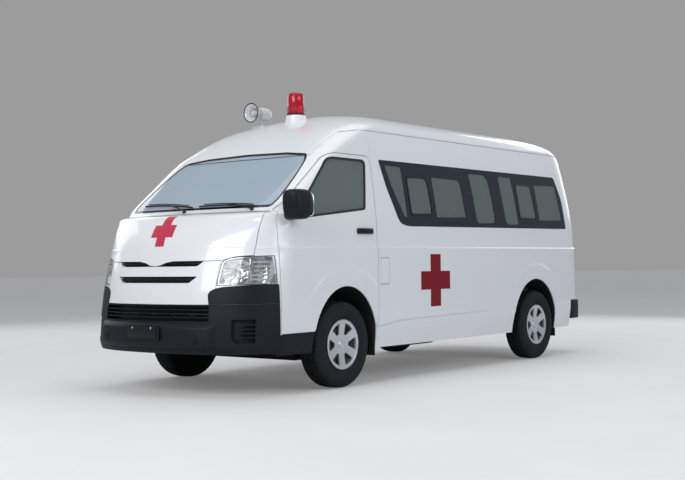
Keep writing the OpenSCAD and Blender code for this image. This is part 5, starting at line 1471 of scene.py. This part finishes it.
first = True
for word, xm in (("driver", 400), ("passenger", -430)):
    z0 = 840
    base = Matrix.Translation(Vector((xm, -1660, z0)) * MM)
    pedestal = rounded_box("seat_base_" + word, (xm - 205, -1630, z0 + 1), (xm + 205, -1190, z0 + 118), 14, 3)
    finish_piece(pedestal, "body", "seat_fabric", DASH, nodes=["front_seats"] if first else ())
    first = False
    cushion("seat_cushion_" + word, (xm - 235, -1675, z0 + 112), (xm + 235, -1185, z0 + 262), None, 4.2, 2, 0.12)
    lean = Matrix.Translation(Vector((xm, -1215, z0 + 190)) * MM) @ Matrix.Rotation(math.radians(-14), 4, "X")
    cushion("seat_back_" + word, (-232, -65, 0), (232, 70, 610), lean, 4.2, 0, 0.10)
    cushion("seat_head_" + word, (-125, -42, 650), (125, 48, 800), lean, 3.4, 0, 0.10)
    for k, x in enumerate((-60, 60)):
        post = lathe("seat_post_%s_%d" % (word, k), [(0, 0), (7, 0), (7, 120), (0, 120)], 20, "Z")
        post.data.transform(lean @ Matrix.Translation(Vector((x, 4, 560)) * MM))
        finish_piece(post, "body", "bare_steel", STEEL)
    for k, x in enumerate((-1, 1)):
        seam = [(-0.0, 0, 0)]
        path = []
        for t in np.linspace(0.08, 0.92, 12):
            path.append(lean @ Vector((x * 150 * MM, -58 * MM, 610 * t * MM)))
        finish_piece(tube("seat_seam_%s_%d" % (word, k), [tuple(p * 1000) for p in path], 4.5), "body", "seat_fabric", CLOTH_PIPE)
bx0, bx1, by0, by1 = -838, -462, 112, 998
bench_box = rounded_box("bench_box", (bx0 + 4, by0, 622), (bx1 - 2, by1, 958), 10, 3)
finish_piece(bench_box, "body", "seat_fabric", DASH, nodes=["attendant_bench"])
for k in range(2):
    a = by0 + 4 + k * (by1 - by0) / 2
    cushion("bench_pad_%d" % k, (bx0 + 8, a, 960), (bx1 + 6, a + (by1 - by0) / 2 - 8, 1046), None, 5.0, 0, 0.10, mat=BENCH)

# Steering wheel
sw = Matrix.Translation(Vector((400, AXLE_F - 420, 1165)) * MM) @ Matrix.Rotation(math.radians(-38), 4, "X")
rim_pts = []
torus = [(180 + 14 * math.cos(a), 14 * math.sin(a) * 0.9) for a in np.linspace(0, 2 * math.pi, 17)[:-1]]
rimo = lathe("steer_rim", torus, 96)
rimo.data.transform(sw)
finish_piece(rimo, "steering_wheel", "wheel_rim", BLACK, nodes=["steering_wheel"])
hub = soft_block("steer_hub", (-72, -62, -22), (72, 58, 16), 3.0)
hub.data.transform(sw)
finish_piece(hub, "steering_wheel", "wheel_rim", DASH)
for k, a in enumerate((0, 180, 270)):
    spoke = soft_block("steer_spoke_%d" % k, (50, -17, -12), (176, 17, 4), 3.0)
    spoke.data.transform(sw @ Matrix.Rotation(math.radians(a), 4, "Z"))
    finish_piece(spoke, "steering_wheel", "wheel_rim", BLACK)

# ---------------------------------------------------------------- CAD nodes that stay
KEEP = {
    "floor": FLOOR_MAT, "dashboard": DASH, "chassis_frame": UNDER, "front_suspension": UNDER, "engine": CAST, "driveline": CAST,
    "rear_axle": UNDER, "leaf_springs": UNDER, "fuel_tank": UNDER, "exhaust": PIPE, "spare_wheel": TYRE, "mud_flaps": SEAL_AND_GAP_SHADE,
    "steering_rack": STEEL, "knuckle_left": CAST, "knuckle_right": CAST,
}
for node, mat in KEEP.items():
    ob = frame["nodes"][node]
    if not ob.material_slots:
        ob.data.materials.append(mat)
    for slot_ in ob.material_slots:
        slot_.material = mat

# ---------------------------------------------------------------- clean up, floor and light
for ob in list(cutters.objects):
    bpy.data.objects.remove(ob)
bpy.data.collections.remove(cutters)
bpy.data.objects.remove(SHELL)
for ob in list(scene.objects):
    if ob.name.startswith("recess") or ob.name.startswith("solid"):
        bpy.data.objects.remove(ob)

floor_mat, nt, bsdf = new_material("studio_floor")
n1 = noise_node(nt, 0.8, 3)
nt.links.new(ramp_between(nt, n1.outputs["Fac"], (0.60, 0.60, 0.61), (0.64, 0.64, 0.65)), bsdf.inputs["Base Color"])
bsdf.inputs["Roughness"].default_value = 0.85
bsdf.inputs["Specular IOR Level"].default_value = 0.2
path = nt.nodes.new("ShaderNodeLightPath")
lift = nt.nodes.new("ShaderNodeMath")
lift.operation = "MULTIPLY"
lift.inputs[1].default_value = 0.16
nt.links.new(path.outputs["Is Camera Ray"], lift.inputs[0])
bsdf.inputs["Emission Color"].default_value = (0.93, 0.92, 0.92, 1)
nt.links.new(lift.outputs[0], bsdf.inputs["Emission Strength"])
ground_ring = [(90 * math.cos(a), 90 * math.sin(a), -0.001) for a in np.linspace(0, 2 * math.pi, 65)[:-1]]
ground = mesh_object("studio_floor", ground_ring, [tuple(range(64))])
ground.data.materials.append(floor_mat)

world = bpy.data.worlds.new("world")
scene.world = world
world.use_nodes = True
wt = world.node_tree
bg = wt.nodes["Background"]
coord = wt.nodes.new("ShaderNodeTexCoord")
sep = wt.nodes.new("ShaderNodeSeparateXYZ")
wt.links.new(coord.outputs["Generated"], sep.inputs["Vector"])
grad = wt.nodes.new("ShaderNodeValToRGB")
grad.color_ramp.elements[0].position = 0.0
grad.color_ramp.elements[0].color = (0.62, 0.62, 0.63, 1)
grad.color_ramp.elements[1].position = 0.5
grad.color_ramp.elements[1].color = (0.78, 0.80, 0.84, 1)
wt.links.new(sep.outputs["Z"], grad.inputs["Fac"])
wt.links.new(grad.outputs["Color"], bg.inputs["Color"])
bg.inputs["Strength"].default_value = 0.42
# What the camera sees behind the object, level with the far floor
seen = wt.nodes.new("ShaderNodeBackground")
seen.inputs["Color"].default_value = (0.335, 0.333, 0.336, 1)
which = wt.nodes.new("ShaderNodeLightPath")
either = wt.nodes.new("ShaderNodeMixShader")
wt.links.new(which.outputs["Is Camera Ray"], either.inputs["Fac"])
wt.links.new(bg.outputs["Background"], either.inputs[1])
wt.links.new(seen.outputs["Background"], either.inputs[2])
wt.links.new(either.outputs["Shader"], wt.nodes["World Output"].inputs["Surface"])


def area_light(name, place, target, size, power, color=(1, 1, 1)):
    data = bpy.data.lights.new(name, "AREA")
    data.shape = "RECTANGLE"
    data.size, data.size_y = size
    data.energy = power
    data.color = color
    ob = bpy.data.objects.new(name, data)
    ob.location = place
    ob.rotation_euler = (Vector(target) - Vector(place)).to_track_quat("-Z", "Y").to_euler()
    scene.collection.objects.link(ob)
    return ob


area_light("key_front", (1.0, -10.0, 5.5), (0, -2.0, 1.0), (6, 4), 450)
area_light("fill_left", (9.5, -1.0, 4.5), (0, 0, 1.0), (7, 4), 290, (0.93, 0.96, 1.0))
area_light("fill_right", (-9.0, 0.5, 4.5), (0, 0, 1.0), (7, 4), 150)
area_light("top_soft", (0, 0, 7.5), (0, 0, 0), (7, 9), 170)
area_light("back_soft", (0, 9.0, 4.0), (0, 0, 1.0), (6, 4), 150)
